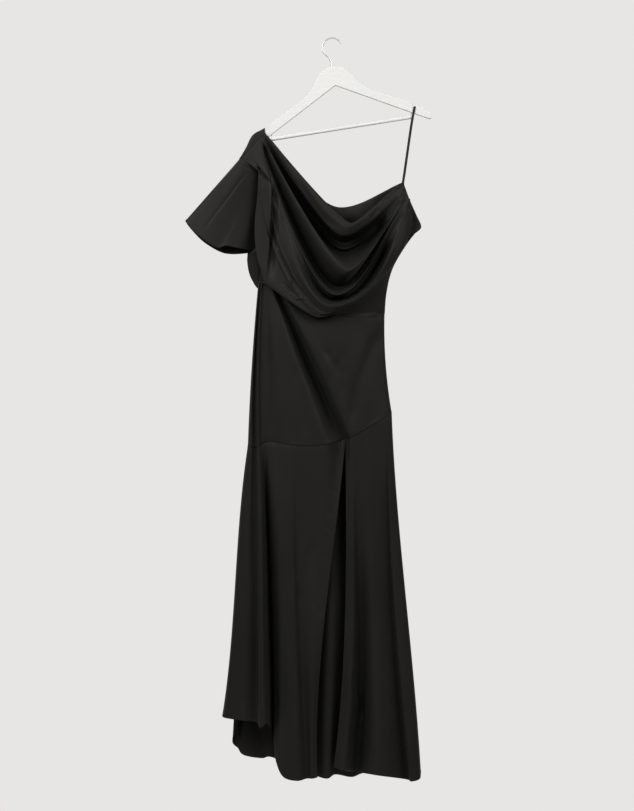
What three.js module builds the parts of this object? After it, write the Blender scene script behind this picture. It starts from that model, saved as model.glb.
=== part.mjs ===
// A long black satin evening dress with a draped cowl neck, one flutter sleeve and a slit skirt, on a flat
// wooden hanger. Millimetres, +Z up, the front faces -Y. The origin is inside the crown of the hanger's
// hook, where it hangs. Left and right are the viewer's, looking at the front.
import * as THREE from "three";

// Driving dimensions
const CLOTH = 1.2; // wall thickness of the satin
const SEAM = 0.4; // gap between two pieces along a seam
const HANGER_TILT = THREE.MathUtils.degToRad(9); // its right end hangs higher
const HANGER_HALF = 226; // half the hanger's width
const WOOD = 13; // thickness of the hanger's body
const BAR_RADIUS = 4.6;
const WIRE_RADIUS = 1.9;
const HOOK_RADIUS = 24.5; // to the middle of the wire
const NECK = { x: -3.3, z: -70.9 }; // where the hook meets the wood
const RIBBON = { width: 5.4, thickness: 0.8 };

// Materials
const satin = new THREE.MeshStandardMaterial({ color: 0x1d1c1b, roughness: 0.42, metalness: 0 });
const paintedWood = new THREE.MeshStandardMaterial({ color: 0xf2f2ee, roughness: 0.45, metalness: 0 });
const steel = new THREE.MeshStandardMaterial({ color: 0xc9c9c6, roughness: 0.25, metalness: 1 });

// Numbers along a smooth curve through evenly spaced values, at t from 0 to 1
function through(values, t) {
  const spans = values.length - 1;
  const at = THREE.MathUtils.clamp(t, 0, 1) * spans;
  const i = Math.min(Math.floor(at), spans - 1);
  const f = at - i;
  const p1 = values[i];
  const p2 = values[i + 1];
  const p0 = i > 0 ? values[i - 1] : 2 * p1 - p2;
  const p3 = i + 2 <= spans ? values[i + 2] : 2 * p2 - p1;
  return p1 + 0.5 * f * (p2 - p0 + f * (2 * p0 - 5 * p1 + 4 * p2 - p3 + f * (3 * (p1 - p2) + p3 - p0)));
}

// A value at x on a curve through [x, value] knots that never swings past them
function profile(knots, x) {
  if (x <= knots[0][0]) return knots[0][1];
  const last = knots.length - 1;
  if (x >= knots[last][0]) return knots[last][1];
  let i = 0;
  while (x > knots[i + 1][0]) i++;
  const slope = (k) => (knots[k + 1][1] - knots[k][1]) / (knots[k + 1][0] - knots[k][0]);
  const steepness = (k) => {
    if (k === 0) return slope(0);
    if (k === last) return slope(last - 1);
    const before = slope(k - 1);
    const after = slope(k);
    return before * after <= 0 ? 0 : (2 * before * after) / (before + after);
  };
  const h = knots[i + 1][0] - knots[i][0];
  const f = (x - knots[i][0]) / h;
  const g = 1 - f;
  const ends = g * g * (1 + 2 * f) * knots[i][1] + f * f * (3 - 2 * f) * knots[i + 1][1];
  return ends + h * f * g * (g * steepness(i) - f * steepness(i + 1));
}

// A curve through table rows with x, y and z
function curveThrough(rows) {
  const points = rows.map(({ x, y, z }) => new THREE.Vector3(x, y, z));
  return new THREE.CatmullRomCurve3(points, false, "centripetal");
}

// A point on a cubic through four evenly spaced values, for a line from a seam to a hem
function alongFold(top, upper, lower, hem, v) {
  const a = 1 - v;
  return (
    top * a * (1 - 3 * v) * (1 - 1.5 * v) +
    upper * 9 * v * a * (1 - 1.5 * v) +
    lower * 4.5 * v * a * (3 * v - 1) +
    hem * v * (1 - 3 * a) * (1 - 1.5 * a)
  );
}

// Soft troughs and ridges, each along a straight line from (x0, z0) to (x1, z1). A positive depth goes in.
function creaseDepth(creases, x, z) {
  let sum = 0;
  for (const c of creases) {
    const dx = c.x1 - c.x0;
    const dz = c.z1 - c.z0;
    const length = Math.hypot(dx, dz);
    const along = ((x - c.x0) * dx + (z - c.z0) * dz) / (length * length);
    const across = ((x - c.x0) * dz - (z - c.z0) * dx) / length;
    const start = THREE.MathUtils.smoothstep(along, -c.fade, c.fade);
    const end = THREE.MathUtils.smoothstep(1 - along, -c.fade, c.fade);
    sum += c.depth * start * end * Math.exp(-((across / c.width) ** 2));
  }
  return sum;
}

// A table: the names of its columns, then its rows, each with its own name first
function table(columns, rows) {
  const keys = ["name", ...columns.split(" ")];
  return rows.map((row) => Object.fromEntries(row.map((value, k) => [keys[k], value])));
}

// A grid of points: rows from top to bottom, each from left to right
function grid(columns, rows, point) {
  return Array.from({ length: rows + 1 }, (_, j) =>
    Array.from({ length: columns + 1 }, (_, i) => point(i / columns, j / rows)),
  );
}

const never = () => false;
const always = () => true;

// A closed cloth wall from a grid of outer points. Its inner skin is the outer one, moved in along the
// normals. A round wall closes on itself from the last column to the first. At a level rim the wall's cut
// edge lies level, and at an upright side it lies along x, so that two panels meet flat in a side seam.
function clothWall(points, thickness, { round, levelTop, levelBottom, uprightSides = never, out = 1 } = {}) {
  const rows = points.length;
  const columns = points[0].length;
  const vertices = [];
  const inner = [];
  for (let j = 0; j < rows; j++) {
    for (let i = 0; i < columns; i++) {
      const left = points[j][round ? (i - 1 + columns) % columns : Math.max(i - 1, 0)];
      const right = points[j][round ? (i + 1) % columns : Math.min(i + 1, columns - 1)];
      const up = points[Math.max(j - 1, 0)][i];
      const down = points[Math.min(j + 1, rows - 1)][i];
      const across = new THREE.Vector3().subVectors(right, left);
      const normal = new THREE.Vector3().subVectors(down, up).cross(across).multiplyScalar(out);
      if ((levelTop && j === 0) || (levelBottom && j === rows - 1)) normal.z = 0;
      if ((i === 0 || i === columns - 1) && uprightSides(points[j][i])) normal.y = 0;
      normal.normalize();
      vertices.push(points[j][i]);
      inner.push(points[j][i].clone().addScaledVector(normal, -thickness));
    }
  }
  const skin = vertices.length;
  vertices.push(...inner);
  const faces = [];
  const quad = (a, b, c, d) => faces.push(a, b, c, a, c, d);
  const at = (j, i) => j * columns + (i % columns);
  const spans = round ? columns : columns - 1;
  for (let j = 0; j < rows - 1; j++) {
    for (let i = 0; i < spans; i++) {
      const [a, b, c, d] = [at(j, i), at(j + 1, i), at(j + 1, i + 1), at(j, i + 1)];
      quad(a, b, c, d);
      quad(skin + a, skin + d, skin + c, skin + b);
    }
  }
  for (let i = 0; i < spans; i++) {
    quad(at(0, i), at(0, i + 1), skin + at(0, i + 1), skin + at(0, i));
    quad(at(rows - 1, i + 1), at(rows - 1, i), skin + at(rows - 1, i), skin + at(rows - 1, i + 1));
  }
  if (!round) {
    for (let j = 0; j < rows - 1; j++) {
      quad(at(j + 1, 0), at(j, 0), skin + at(j, 0), skin + at(j + 1, 0));
      const [a, b] = [at(j, columns - 1), at(j + 1, columns - 1)];
      quad(a, b, skin + b, skin + a);
    }
  }
  if (out < 0) faces.reverse();
  const geometry = new THREE.BufferGeometry();
  const positions = vertices.flatMap((p) => p.toArray());
  geometry.setAttribute("position", new THREE.Float32BufferAttribute(positions, 3));
  geometry.setIndex(faces);
  geometry.computeVertexNormals();
  return geometry;
}

// A named mesh with a material of its own
function piece(name, geometry, material) {
  const mesh = new THREE.Mesh(geometry, material.clone());
  mesh.name = name;
  return mesh;
}

// Seams. The waist seam is hidden behind the blouse at the left; the hip seam rises to the right.
const waistSeam = [
  [-187, -611], [-162, -611], [-107, -642], [-57, -675], [-7, -691], [30, -694], [80, -695], [129, -691],
];
const hipSeam = [
  [-213, -1016], [-197, -1020], [-162, -1006], [-125, -1012], [-60, -1017], [-20, -1014],
  [17, -1005], [42, -997], [97, -966], [147, -935],
];
const backHipSeam = [[-213, -1016], [-130, -1014], [-60, -1011], [40, -985], [147, -935]];

// Front skirt between the waist seam and the hip seam, one row for each fold from left to right
const frontFolds = table("waistX middleX hipX waistY middleY hipY", [
  ["side seam", -187, -203, -213, 3.6, 3.6, 3.6],
  ["side roll", -186, -202, -210.5, -6, -8, -10],
  ["outer ridge", -184, -199, -204, -12, -20, -19],
  ["dark groove", -181, -194, -196, -8, -5, -8],
  ["inner ridge", -178, -187, -187, -18, -27, -26],
  ["crease", -174, -178, -177, -14, -14, -13],
  ["pleat", -169, -161, -160, -17, -16, -14],
  ["left panel", -163, -132, -105, -20, -27, -29],
  ["left bank", -156, -88, -20, -21, -30, -32],
  ["long diagonal", -147, -63, 24, -15, -17, -22],
  ["right bank", -134, -40, 47, -24, -33, -33],
  ["middle", -75, 5, 70, -25, -32, -32],
  ["right panel", 10, 60, 102, -25, -29, -28],
  ["right side", 105, 112, 133, -16, -16, -17],
  ["right roll", 126, 129, 144, -7, -8, -8],
  ["right seam", 129, 132, 147, 3.6, 3.6, 3.6],
]);
const skirtCreases = [
  { name: "right diagonal", x0: 127, z0: -712, x1: 45, z1: -985, depth: 6, width: 17, fade: 0.12 },
  { name: "short left", x0: -95, z0: -830, x1: -65, z1: -1000, depth: 4, width: 12, fade: 0.25 },
];
const backFolds = table("waistX middleX hipX waistY middleY hipY", [
  ["side seam", -187, -203, -213, 4.4, 4.4, 4.4],
  ["left roll", -185, -200, -210, 13, 14, 14],
  ["left side", -172, -185, -195, 20, 24, 24],
  ["left ridge", -140, -146, -150, 23, 30, 29],
  ["left groove", -85, -88, -90, 20, 24, 24],
  ["middle", -20, -18, -15, 22, 30, 29],
  ["right groove", 45, 47, 50, 20, 24, 24],
  ["right side", 105, 108, 118, 19, 23, 22],
  ["right roll", 126, 129, 143, 12, 13, 13],
  ["right seam", 129, 132, 147, 4.4, 4.4, 4.4],
]);

const column = (rows, key) => rows.map((row) => row[key]);

// The line of the hip seam on the front or back, at a given x
function hipLine(folds, x) {
  const y = profile(folds.map((fold) => [fold.hipX, fold.hipY]), x);
  return new THREE.Vector3(x, y, profile(folds === backFolds ? backHipSeam : hipSeam, x));
}

// A value through its top, middle and bottom
function bowed(top, middle, bottom, v) {
  return top * (1 - v) * (1 - 2 * v) + 4 * middle * v * (1 - v) + bottom * v * (2 * v - 1);
}

// A skirt panel between the two seams
function skirtPoint(folds, creases, u, v) {
  const at = (key) => through(column(folds, key), u);
  const x = bowed(at("waistX"), at("middleX"), at("hipX"), v);
  const waistY = profile(folds.map((fold) => [fold.waistX, fold.waistY]), at("waistX"));
  const hip = hipLine(folds, at("hipX"));
  const z = THREE.MathUtils.lerp(profile(waistSeam, at("waistX")) - SEAM, hip.z + SEAM, v);
  const nearSide = Math.min(1, 12 * u, 12 * (1 - u));
  const y = bowed(waistY, at("middleY"), hip.y, v) + creaseDepth(creases, x, z) * nearSide;
  return new THREE.Vector3(x, y, z);
}

const BETWEEN_SEAMS = { levelTop: true, levelBottom: true, uprightSides: always };

function skirtFront() {
  const points = grid(36, 12, (u, v) => skirtPoint(frontFolds, skirtCreases, u, v));
  return piece("skirt_front", clothWall(points, CLOTH, BETWEEN_SEAMS), satin);
}

function skirtBack() {
  const points = grid(26, 6, (u, v) => skirtPoint(backFolds, [], u, v));
  return piece("skirt_back", clothWall(points, CLOTH, { ...BETWEEN_SEAMS, out: -1 }), satin);
}

// Flounces, one row for each fold: where it leaves the hip seam, its x a third and two thirds down, and the
// hem
const leftFlounceFolds = table("seamX upperX lowerX hemX hemZ upperY hemY", [
  ["side seam", -213, -237, -252, -277, -1694, 3.6, 5.6],
  ["side roll", -210, -231, -246, -268, -1696, -15, -20],
  ["outer panel", -204, -215, -224, -234, -1701, -22, -32],
  ["groove", -196, -195, -191, -193, -1703, -13, -22],
  ["ridge", -186, -184, -181, -180, -1717, -37, -64],
  ["ridge inside", -179, -173, -169, -163, -1707, -30, -56],
  ["deep groove", -171, -163, -155, -151, -1748, -9, -2],
  ["groove right", -162, -149, -139, -142, -1803, -17, -26],
  ["middle left", -142, -132, -123, -124, -1840, -32, -46],
  ["middle", -105, -102, -94, -90, -1849, -36, -54],
  ["small groove", -82, -82, -74, -64, -1845, -31, -45],
  ["lap", -30, -38, -50, -52, -1844, -36, -50],
  ["slit edge", 30.8, -1, -32, -39, -1842, -32, -42],
]);
const rightFlounceFolds = table("seamX upperX lowerX hemX hemZ upperY hemY", [
  ["slit edge", 31.2, 32.5, 26, 2, -1817, -29, -36],
  ["edge fold", 46, 50, 48, 28, -1825, -33, -46],
  ["groove", 62, 64, 71, 60, -1832, -27, -31],
  ["middle", 92, 94, 105, 107, -1835, -35, -54],
  ["side groove", 130, 139, 157, 176, -1840, -19, -29],
  ["side ridge", 139, 154, 175, 196, -1852, -19, -40],
  ["side roll", 144.5, 164, 192, 215, -1846, -8, -22],
  ["side seam", 147, 167, 196, 220, -1835, 3.6, 5.6],
]);
const backFlounceFolds = table("seamX upperX lowerX hemX hemZ upperY hemY", [
  ["side seam", -213, -237, -252, -277, -1694, 4.4, 6.4],
  ["turned in", -211, -228, -234, -240, -1710, 13, 16],
  ["fold edge", -208, -228, -240, -252, -1758, 20, 25],
  ["first lobe", -202, -217, -228, -239, -1776, 25, 33],
  ["second lobe", -192, -203, -213, -224, -1793, 23, 27],
  ["third lobe", -175, -180, -180, -180, -1802, 29, 36],
  ["step", -155, -153, -153, -155, -1798, 24, 27],
  ["hidden ridge", -107, -107, -103, -100, -1822, 31, 38],
  ["inner ridge", -30, -28, -27, -30, -1846, 20, 12],
  ["inner groove", 0, -3, -2, -4, -1836, 30, 34],
  ["middle lobe", 30, 33, 40, 47, -1847, 24, 24],
  ["next lobe", 58, 62, 72, 78, -1839, 31, 37],
  ["right ridge", 100, 105, 125, 140, -1830, 26, 28],
  ["right side", 130, 145, 170, 190, -1835, 25, 30],
  ["right roll", 144, 162, 190, 213, -1833, 15, 18],
  ["side seam", 147, 167, 196, 220, -1835, 4.4, 6.4],
]);

// A flounce from the hip seam to its hem
function flouncePoint(folds, seamFolds, u, v) {
  const at = (key) => through(column(folds, key), u);
  const top = hipLine(seamFolds, at("seamX"));
  const x = alongFold(top.x, at("upperX"), at("lowerX"), at("hemX"), v);
  const lowerY = THREE.MathUtils.lerp(at("upperY"), at("hemY"), 0.6);
  const y = alongFold(top.y, at("upperY"), lowerY, at("hemY"), v);
  return new THREE.Vector3(x, y, THREE.MathUtils.lerp(top.z - SEAM, at("hemZ"), v));
}

function flounce(name, folds, seamFolds, columns, rows, out) {
  const points = grid(columns, rows, (u, v) => flouncePoint(folds, seamFolds, u, v));
  return piece(name, clothWall(points, CLOTH, { levelTop: true, uprightSides: always, out }), satin);
}

// Edges of the bodice. Each is a curve whose length in millimetres places the ends of the swags below.
const shoulderSeam = curveThrough([
  { name: "neck point", x: -170, y: -9.4, z: -236 },
  { name: "sleeve head", x: -230, y: -9.4, z: -298 },
]);
const shoulderFold = curveThrough([
  { name: "neck point", x: -170.5, y: 0, z: -223.5 },
  { name: "over the notch", x: -178, y: 0, z: -224.5 },
  { name: "corner", x: -190, y: 0, z: -233 },
  { name: "over the tip", x: -208, y: 0, z: -248 },
  { name: "outside the tip", x: -218, y: 0, z: -273 },
  { name: "sleeve head", x: -233, y: 0, z: -298 },
]);
const armholeFold = curveThrough([
  { name: "sleeve head", x: -230, y: -9.4, z: -298 },
  { name: "front of the sleeve", x: -208, y: -13, z: -311 },
  { name: "top of the side fold", x: -190, y: -18, z: -323 },
  { name: "upper side fold", x: -187.5, y: -22, z: -352 },
  { name: "side fold", x: -190, y: -25, z: -415 },
  { name: "widest", x: -197, y: -27, z: -485 },
  { name: "under the arm", x: -193, y: -28, z: -528 },
  { name: "lower side fold", x: -183, y: -30, z: -568 },
  { name: "blouse corner", x: -170, y: -30, z: -612 },
]);
const leftSeam = curveThrough([
  { name: "sleeve head", x: -232, y: -9.4, z: -298 },
  { name: "front of the sleeve", x: -210, y: -12, z: -312 },
  { name: "top of the side fold", x: -186, y: -6, z: -326 },
  { name: "upper side fold", x: -181, y: -2, z: -352 },
  { name: "side fold", x: -182, y: 0, z: -415 },
  { name: "widest", x: -187, y: 2, z: -485 },
  { name: "under the arm", x: -184, y: 3, z: -528 },
  { name: "lower side", x: -181, y: 3.4, z: -570 },
  { name: "waist", x: -186, y: 3.6, z: -605 },
]);
const rightEdge = curveThrough([
  { name: "loop corner", x: 175, y: -5, z: -359 },
  { name: "armhole top", x: 179, y: -9, z: -378 },
  { name: "armhole point", x: 207, y: -8, z: -441 },
  { name: "turned under", x: 200, y: -5, z: -468 },
  { name: "under the arm", x: 183, y: 0, z: -511 },
  { name: "side seam upper", x: 162, y: 3, z: -549 },
  { name: "side seam middle", x: 145, y: 3.6, z: -585 },
  { name: "side seam lower", x: 133, y: 3.6, z: -640 },
  { name: "waist", x: 129, y: 3.6, z: -690.6 },
]);
const SHOULDER = shoulderSeam.getLength();
const ARMHOLE = armholeFold.getLength();
const RIGHT_SIDE = rightEdge.getLength();

// The cowl: one row for each swag, from the neckline down. from is how far down the left edge it starts,
// fall the angle at which it leaves and hang how long it keeps to it; lowX and lowZ are its lowest point and
// round how wide it turns there; to is how far down the right edge it ends and rise the angle there. A swag
// that bends first runs down from its bend. left, low and right are its depths at the left, the lowest point
// and the right.
const swags = table("from fall hang lowX lowZ round to rise left low right bendX bendZ", [
  ["neckline", 0, 50, 1, 45, -461, 0.25, 0, 34, -26, -48, -34],
  ["neck roll", 2, 52, 1, 38, -475, 0.3, 3, 42, -36, -60, -44],
  ["roll bottom", 4, 55, 1, 28, -496, 0.4, 8, 58, -34, -60, -46],
  ["roll tuck", 6, 58, 1, 28, -488, 0.4, 12, 60, -18, -34, -26],
  ["hollow", 7, 60, 1, 28, -508, 0.45, 17, 62, -14, -20, -15],
  ["first ripple", 8, 60, 1, 27, -525, 0.45, 22, 62, -16, -30, -16],
  ["ripple groove", 9, 60, 1, 27, -534, 0.45, 27, 63, -17, -23, -16],
  ["second ripple", 10, 61, 1, 28, -543, 0.45, 31, 63, -19, -33, -20],
  ["inner fall", 11, 62, 1, 34, -560, 0.4, 36, 63, -26, -40, -27],
  ["middle lip", 12, 63, 1, 40, -577, 0.3, 44, 62, -38, -62, -38],
  ["lip underside", 14, 66, 1, 30, -592, 0.35, 50, 62, -36, -58, -32],
  ["middle groove", 17, 71, 1, 12, -622, 0.4, 56, 62, -24, -32, -20],
  ["thin ridge", 19, 73, 1, 8, -641, 0.4, 63, 64, -34, -50, -34],
  ["lower groove", 21, 74, 1, 4, -653, 0.42, 72, 66, -38, -36, -20],
  ["lower swag", 24, 76, 1.1, -4, -667, 0.5, 92, 68, -45, -62, -44],
  ["swag underside", 42, 66, 1.15, -8, -680, 0.5, 170, 64, -39, -56, -36, -156, -364],
  ["side groove", 64, 56, 1.25, -9, -685, 0.5, 230, 58, -30, -49, -32, -160.5, -366],
  ["drape", 84, 44, 1.3, -13, -687, 0.5, 270, 45, -42, -51, -31, -165, -368],
  ["side fold crest", 104, 42, 1.35, -18, -688.5, 0.5, 296, 25, -44, -52, -30, -169, -371],
  ["top of the side", 134, 66, 1.35, -22, -689.5, 0.5, 314, 12, -38, -51, -29, -178, -390],
  ["upper side", 200, 80, 1.3, -27, -690.3, 0.5, 326, 3, -35, -51, -28],
  ["middle side", 280, 72, 1.15, -31, -691, 0.5, 334, 2, -37, -50, -27],
  ["lower side", 350, 60, 1.05, -35, -691.5, 0.5, 340, 1, -41, -49, -26],
  ["blouse", 400, 48, 1, -38, -691.8, 0.5, 344, 0, -44, -48, -25],
  ["blouse edge", 1000, 38, 0.9, -40, -691.5, 0.5, 347, 0, -42, -45, -24],
]);
const LOW_AT = 0.6; // where along a swag its lowest point comes
const BEND_AT = 0.18; // where along a swag its bend comes
const RETURN_AT = 0.07; // up to here the side fold turns back to its seam
const pleatRidges = [
  { name: "side fold ridge", x0: -156, z0: -345, x1: -163, z1: -606, depth: -8, width: 9, fade: 0.1 },
  { name: "shoulder pleat", x0: -180, z0: -250, x1: -156, z1: -358, depth: -5, width: 8, fade: 0.2 },
  { name: "sleeve pleat", x0: -188, z0: -318, x1: -156, z1: -360, depth: 5, width: 6, fade: 0.2 },
];

const LEVEL = new THREE.Vector3(1, 0, 0);
const OFF_SHOULDER = new THREE.Vector3(0.72, 0, -0.69); // square to the shoulder seam

// The way a swag runs at so many degrees down from level
function direction(degrees) {
  const angle = THREE.MathUtils.degToRad(degrees);
  return new THREE.Vector3(Math.cos(angle), 0, -Math.sin(angle));
}

function hermite(a, b, leave, arrive, t) {
  const s = 1 - t;
  const ends = (key) => s * s * (1 + 2 * t) * a[key] + t * t * (3 - 2 * t) * b[key];
  const blend = (key) => ends(key) + s * t * (s * leave[key] - t * arrive[key]);
  return { x: blend("x"), z: blend("z") };
}

// The quarter turn from a seam behind, where t is 0, round to a fold in front of it
function turnRound(seam, fold, t) {
  const turn = (1 - t) * (Math.PI / 2);
  const out = 1 - Math.cos(turn);
  const back = Math.sin(turn);
  const { lerp } = THREE.MathUtils;
  const [x, y, z] = [lerp(fold.x, seam.x, out), lerp(fold.y, seam.y, back), lerp(fold.z, seam.z, 1 - t)];
  return new THREE.Vector3(x, y, z);
}

// A point on a swag of the cowl
function swagPoint(swag, u) {
  const down = Math.min((swag.from - SHOULDER) / ARMHOLE, 1);
  const onShoulder = down <= 0;
  const start = onShoulder ? shoulderSeam.getPointAt(swag.from / SHOULDER) : armholeFold.getPointAt(down);
  if (onShoulder) {
    start.addScaledVector(OFF_SHOULDER, 2 * SEAM + 2 * Math.min(1, u / RETURN_AT));
    if (u < RETURN_AT) return start;
  }
  if (u < RETURN_AT) return turnRound(leftSeam.getPointAt(down), start, u / RETURN_AT);
  const end = rightEdge.getPointAt(swag.to / RIGHT_SIDE);
  const low = new THREE.Vector3(swag.lowX, 0, swag.lowZ);
  const fall = direction(swag.fall);
  const at = (u - RETURN_AT) / (1 - RETURN_AT);
  let p;
  if (at > LOW_AT) {
    const reach = low.distanceTo(new THREE.Vector3(end.x, 0, end.z));
    const round = LEVEL.clone().multiplyScalar((swag.round + 0.1) * reach);
    p = hermite(low, end, round, direction(-swag.rise).multiplyScalar(reach), (at - LOW_AT) / (1 - LOW_AT));
  } else if (swag.bendX === undefined) {
    const reach = Math.hypot(low.x - start.x, low.z - start.z);
    const round = LEVEL.clone().multiplyScalar(swag.round * reach);
    p = hermite(start, low, fall.multiplyScalar(reach * swag.hang), round, at / LOW_AT);
  } else {
    const bend = new THREE.Vector3(swag.bendX, 0, swag.bendZ);
    const first = Math.hypot(bend.x - start.x, bend.z - start.z);
    const reach = bend.distanceTo(low);
    if (at < BEND_AT) {
      const arrive = direction(85).multiplyScalar(first);
      p = hermite(start, bend, fall.multiplyScalar(first), arrive, at / BEND_AT);
    } else {
      const round = LEVEL.clone().multiplyScalar(swag.round * reach);
      const t = (at - BEND_AT) / (LOW_AT - BEND_AT);
      p = hermite(bend, low, direction(85).multiplyScalar(reach * swag.hang), round, t);
    }
  }
  const y = profile([[0, start.y], [0.3, swag.left], [LOW_AT, swag.low], [0.8, swag.right], [1, end.y]], at);
  return new THREE.Vector3(p.x, y, p.z);
}

const TUCK = { rise: 5, forward: 0.3 }; // where the blouse turns back over the waist seam

function waistPoint(folds, u) {
  const x = through(column(folds, "waistX"), u);
  const y = profile(folds.map((fold) => [fold.waistX, fold.waistY]), x);
  return new THREE.Vector3(x, y, profile(waistSeam, x) + SEAM);
}

// A surface through a list of lines, each a function of u
function loft(lines, columns, rows, finish) {
  return grid(columns, rows, (u, v) => {
    const line = lines.map((at) => at(u));
    const [x, y, z] = ["x", "y", "z"].map((key) => through(line.map((p) => p[key]), v));
    return finish(new THREE.Vector3(x, y, z), u);
  });
}

// The bodice's side seams start under the arms
const BESIDE_SEAM = { levelBottom: true, uprightSides: (point) => point.z < -524 };

function bodiceFront() {
  const lines = swags.map((swag) => (u) => swagPoint(swag, u));
  const edge = lines[lines.length - 1];
  lines.push((u) => {
    const waist = waistPoint(frontFolds, u);
    const tuck = waist.clone().lerp(edge(u), TUCK.forward);
    tuck.z = THREE.MathUtils.lerp(tuck.z, waist.z + TUCK.rise, Math.min(1, 8 * u, 8 * (1 - u)));
    return tuck;
  });
  lines.push((u) => waistPoint(frontFolds, u));
  const points = loft(lines, 36, 38, (point, u) => {
    if (u > RETURN_AT) point.y += creaseDepth(pleatRidges, point.x, point.z);
    return point;
  });
  return piece("bodice_front", clothWall(points, CLOTH, BESIDE_SEAM), satin);
}

// Edges of the bodice back. Its armhole at the left is the sleeve's; the right one is open.
const backArmhole = curveThrough([
  { name: "sleeve head", x: -231, y: 9.4, z: -298 },
  { name: "upper", x: -212, y: 13, z: -345 },
  { name: "middle", x: -202, y: 16, z: -420 },
  { name: "lower", x: -200, y: 14, z: -490 },
  { name: "under the arm", x: -186, y: 4, z: -528.6 },
]);
const sideDrape = curveThrough([
  { name: "under the arm", x: -197, y: 16, z: -532 },
  { name: "bulge", x: -212, y: 19, z: -552 },
  { name: "lower bulge", x: -214, y: 18, z: -568 },
  { name: "turning in", x: -207, y: 15, z: -590 },
  { name: "waist", x: -189, y: 9, z: -611 },
]);
const backSideSeam = curveThrough([
  { name: "under the arm", x: -184, y: 3.8, z: -528 },
  { name: "lower side", x: -181, y: 4.2, z: -570 },
  { name: "waist", x: -187, y: 4.4, z: -610.5 },
]);
const backRightEdge = curveThrough([
  { name: "loop corner", x: 175.5, y: 5, z: -358 },
  { name: "armhole upper", x: 192, y: 10, z: -402 },
  { name: "armhole lower", x: 214, y: 11, z: -453 },
  { name: "armhole point", x: 220.5, y: 9, z: -474 },
  { name: "turning under", x: 203, y: 6, z: -489 },
  { name: "side seam upper", x: 162, y: 4, z: -549 },
  { name: "side seam middle", x: 145, y: 4.4, z: -585 },
  { name: "side seam lower", x: 133, y: 4.4, z: -640 },
  { name: "waist", x: 129, y: 4.4, z: -690.6 },
]);

// Lines across the bodice back. from is how far down its left side it starts, as a part of the shoulder
// seam, the armhole or the side seam, and to how far down the right edge it ends. turned is how far over the
// shoulder, from the front to the back, the line's own edge lies.
const backLines = table("side from lowX lowZ to left low right turned", [
  ["neckline", "shoulder", 0, 20, -424, 0, 16, 24, 14, 0],
  ["upper", "shoulder", 0.35, 5, -452, 0.12, 18, 21, 14, 0],
  ["shoulder", "shoulder", 0.7, -10, -480, 0.24, 19, 26, 13, 0],
  ["head front", "shoulder", 1, -20, -505, 0.33, 20, 22, 12, 0],
  ["head top", "shoulder", 1, -24, -525, 0.4, 21, 24, 12, 0.5],
  ["head back", "shoulder", 1, -25, -545, 0.46, 22, 25, 13, 1],
  ["upper armhole", "armhole", 0.22, -25, -562, 0.51, 22, 22, 13],
  ["armhole", "armhole", 0.47, -25, -576, 0.56, 22, 22, 13],
  ["lower armhole", "armhole", 0.74, -25, -590, 0.6, 22, 24, 14],
  ["end of the armhole", "armhole", 0.93, -25, -603, 0.64, 22, 25, 15],
  ["under the arm", "seam", 0, -25, -616, 0.69, 22, 26, 16],
  ["side drape", "seam", 0.35, -25, -638, 0.79, 25, 23, 18],
  ["blouse", "seam", 0.75, -25, -664, 0.9, 28, 29, 20],
]);
const BACK_TURN = 0.2; // up to here a line of the back turns over the shoulder or round the side
const OVER_WOOD = 0.36; // how squarely the cloth turns over the hanger's end

// A point on the turn over the hanger's end, from the seam in front, where turned is 0, to the back
function overShoulder(from, turned) {
  const seam = shoulderSeam.getPointAt(from);
  const top = shoulderFold.getPointAt(from);
  const side = Math.cos(Math.PI * turned);
  const y = seam.y * Math.sign(side) * Math.abs(side) ** OVER_WOOD;
  const down = Math.abs(side) ** 3;
  const lift = SEAM + (from === 1 ? -2 * turned : 0);
  const { lerp } = THREE.MathUtils;
  return new THREE.Vector3(lerp(top.x, seam.x, down), y, lerp(top.z, seam.z, down) + lift);
}

// The left end of a line of the back, at t from 0 at its edge to 1 where the flat back begins
function backEdge(line, t) {
  if (line.side === "shoulder") return overShoulder(line.from, THREE.MathUtils.lerp(line.turned, 1, t));
  if (line.side === "armhole") {
    return backArmhole.getPointAt(line.from).add(new THREE.Vector3(3 * t, 2 * t, 0));
  }
  return turnRound(backSideSeam.getPointAt(line.from), sideDrape.getPointAt(line.from), t);
}

function backLinePoint(line, u) {
  if (u < BACK_TURN) return backEdge(line, u / BACK_TURN);
  const start = backEdge(line, 1);
  const end = backRightEdge.getPointAt(line.to);
  const at = (u - BACK_TURN) / (1 - BACK_TURN);
  const x = profile([[0, start.x], [0.55, line.lowX], [1, end.x]], at);
  const z = profile([[0, start.z], [0.55, line.lowZ], [1, end.z]], at);
  const depths = [[0, start.y], [0.15, line.left], [0.55, line.low], [0.85, line.right], [1, end.y]];
  return new THREE.Vector3(x, profile(depths, at), z);
}

function bodiceBack() {
  const lines = backLines.map((line) => (u) => backLinePoint(line, u));
  lines.push((u) => waistPoint(backFolds, u));
  const points = loft(lines, 26, 20, (point) => point);
  return piece("bodice_back", clothWall(points, CLOTH, { ...BESIDE_SEAM, out: -1 }), satin);
}

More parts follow.
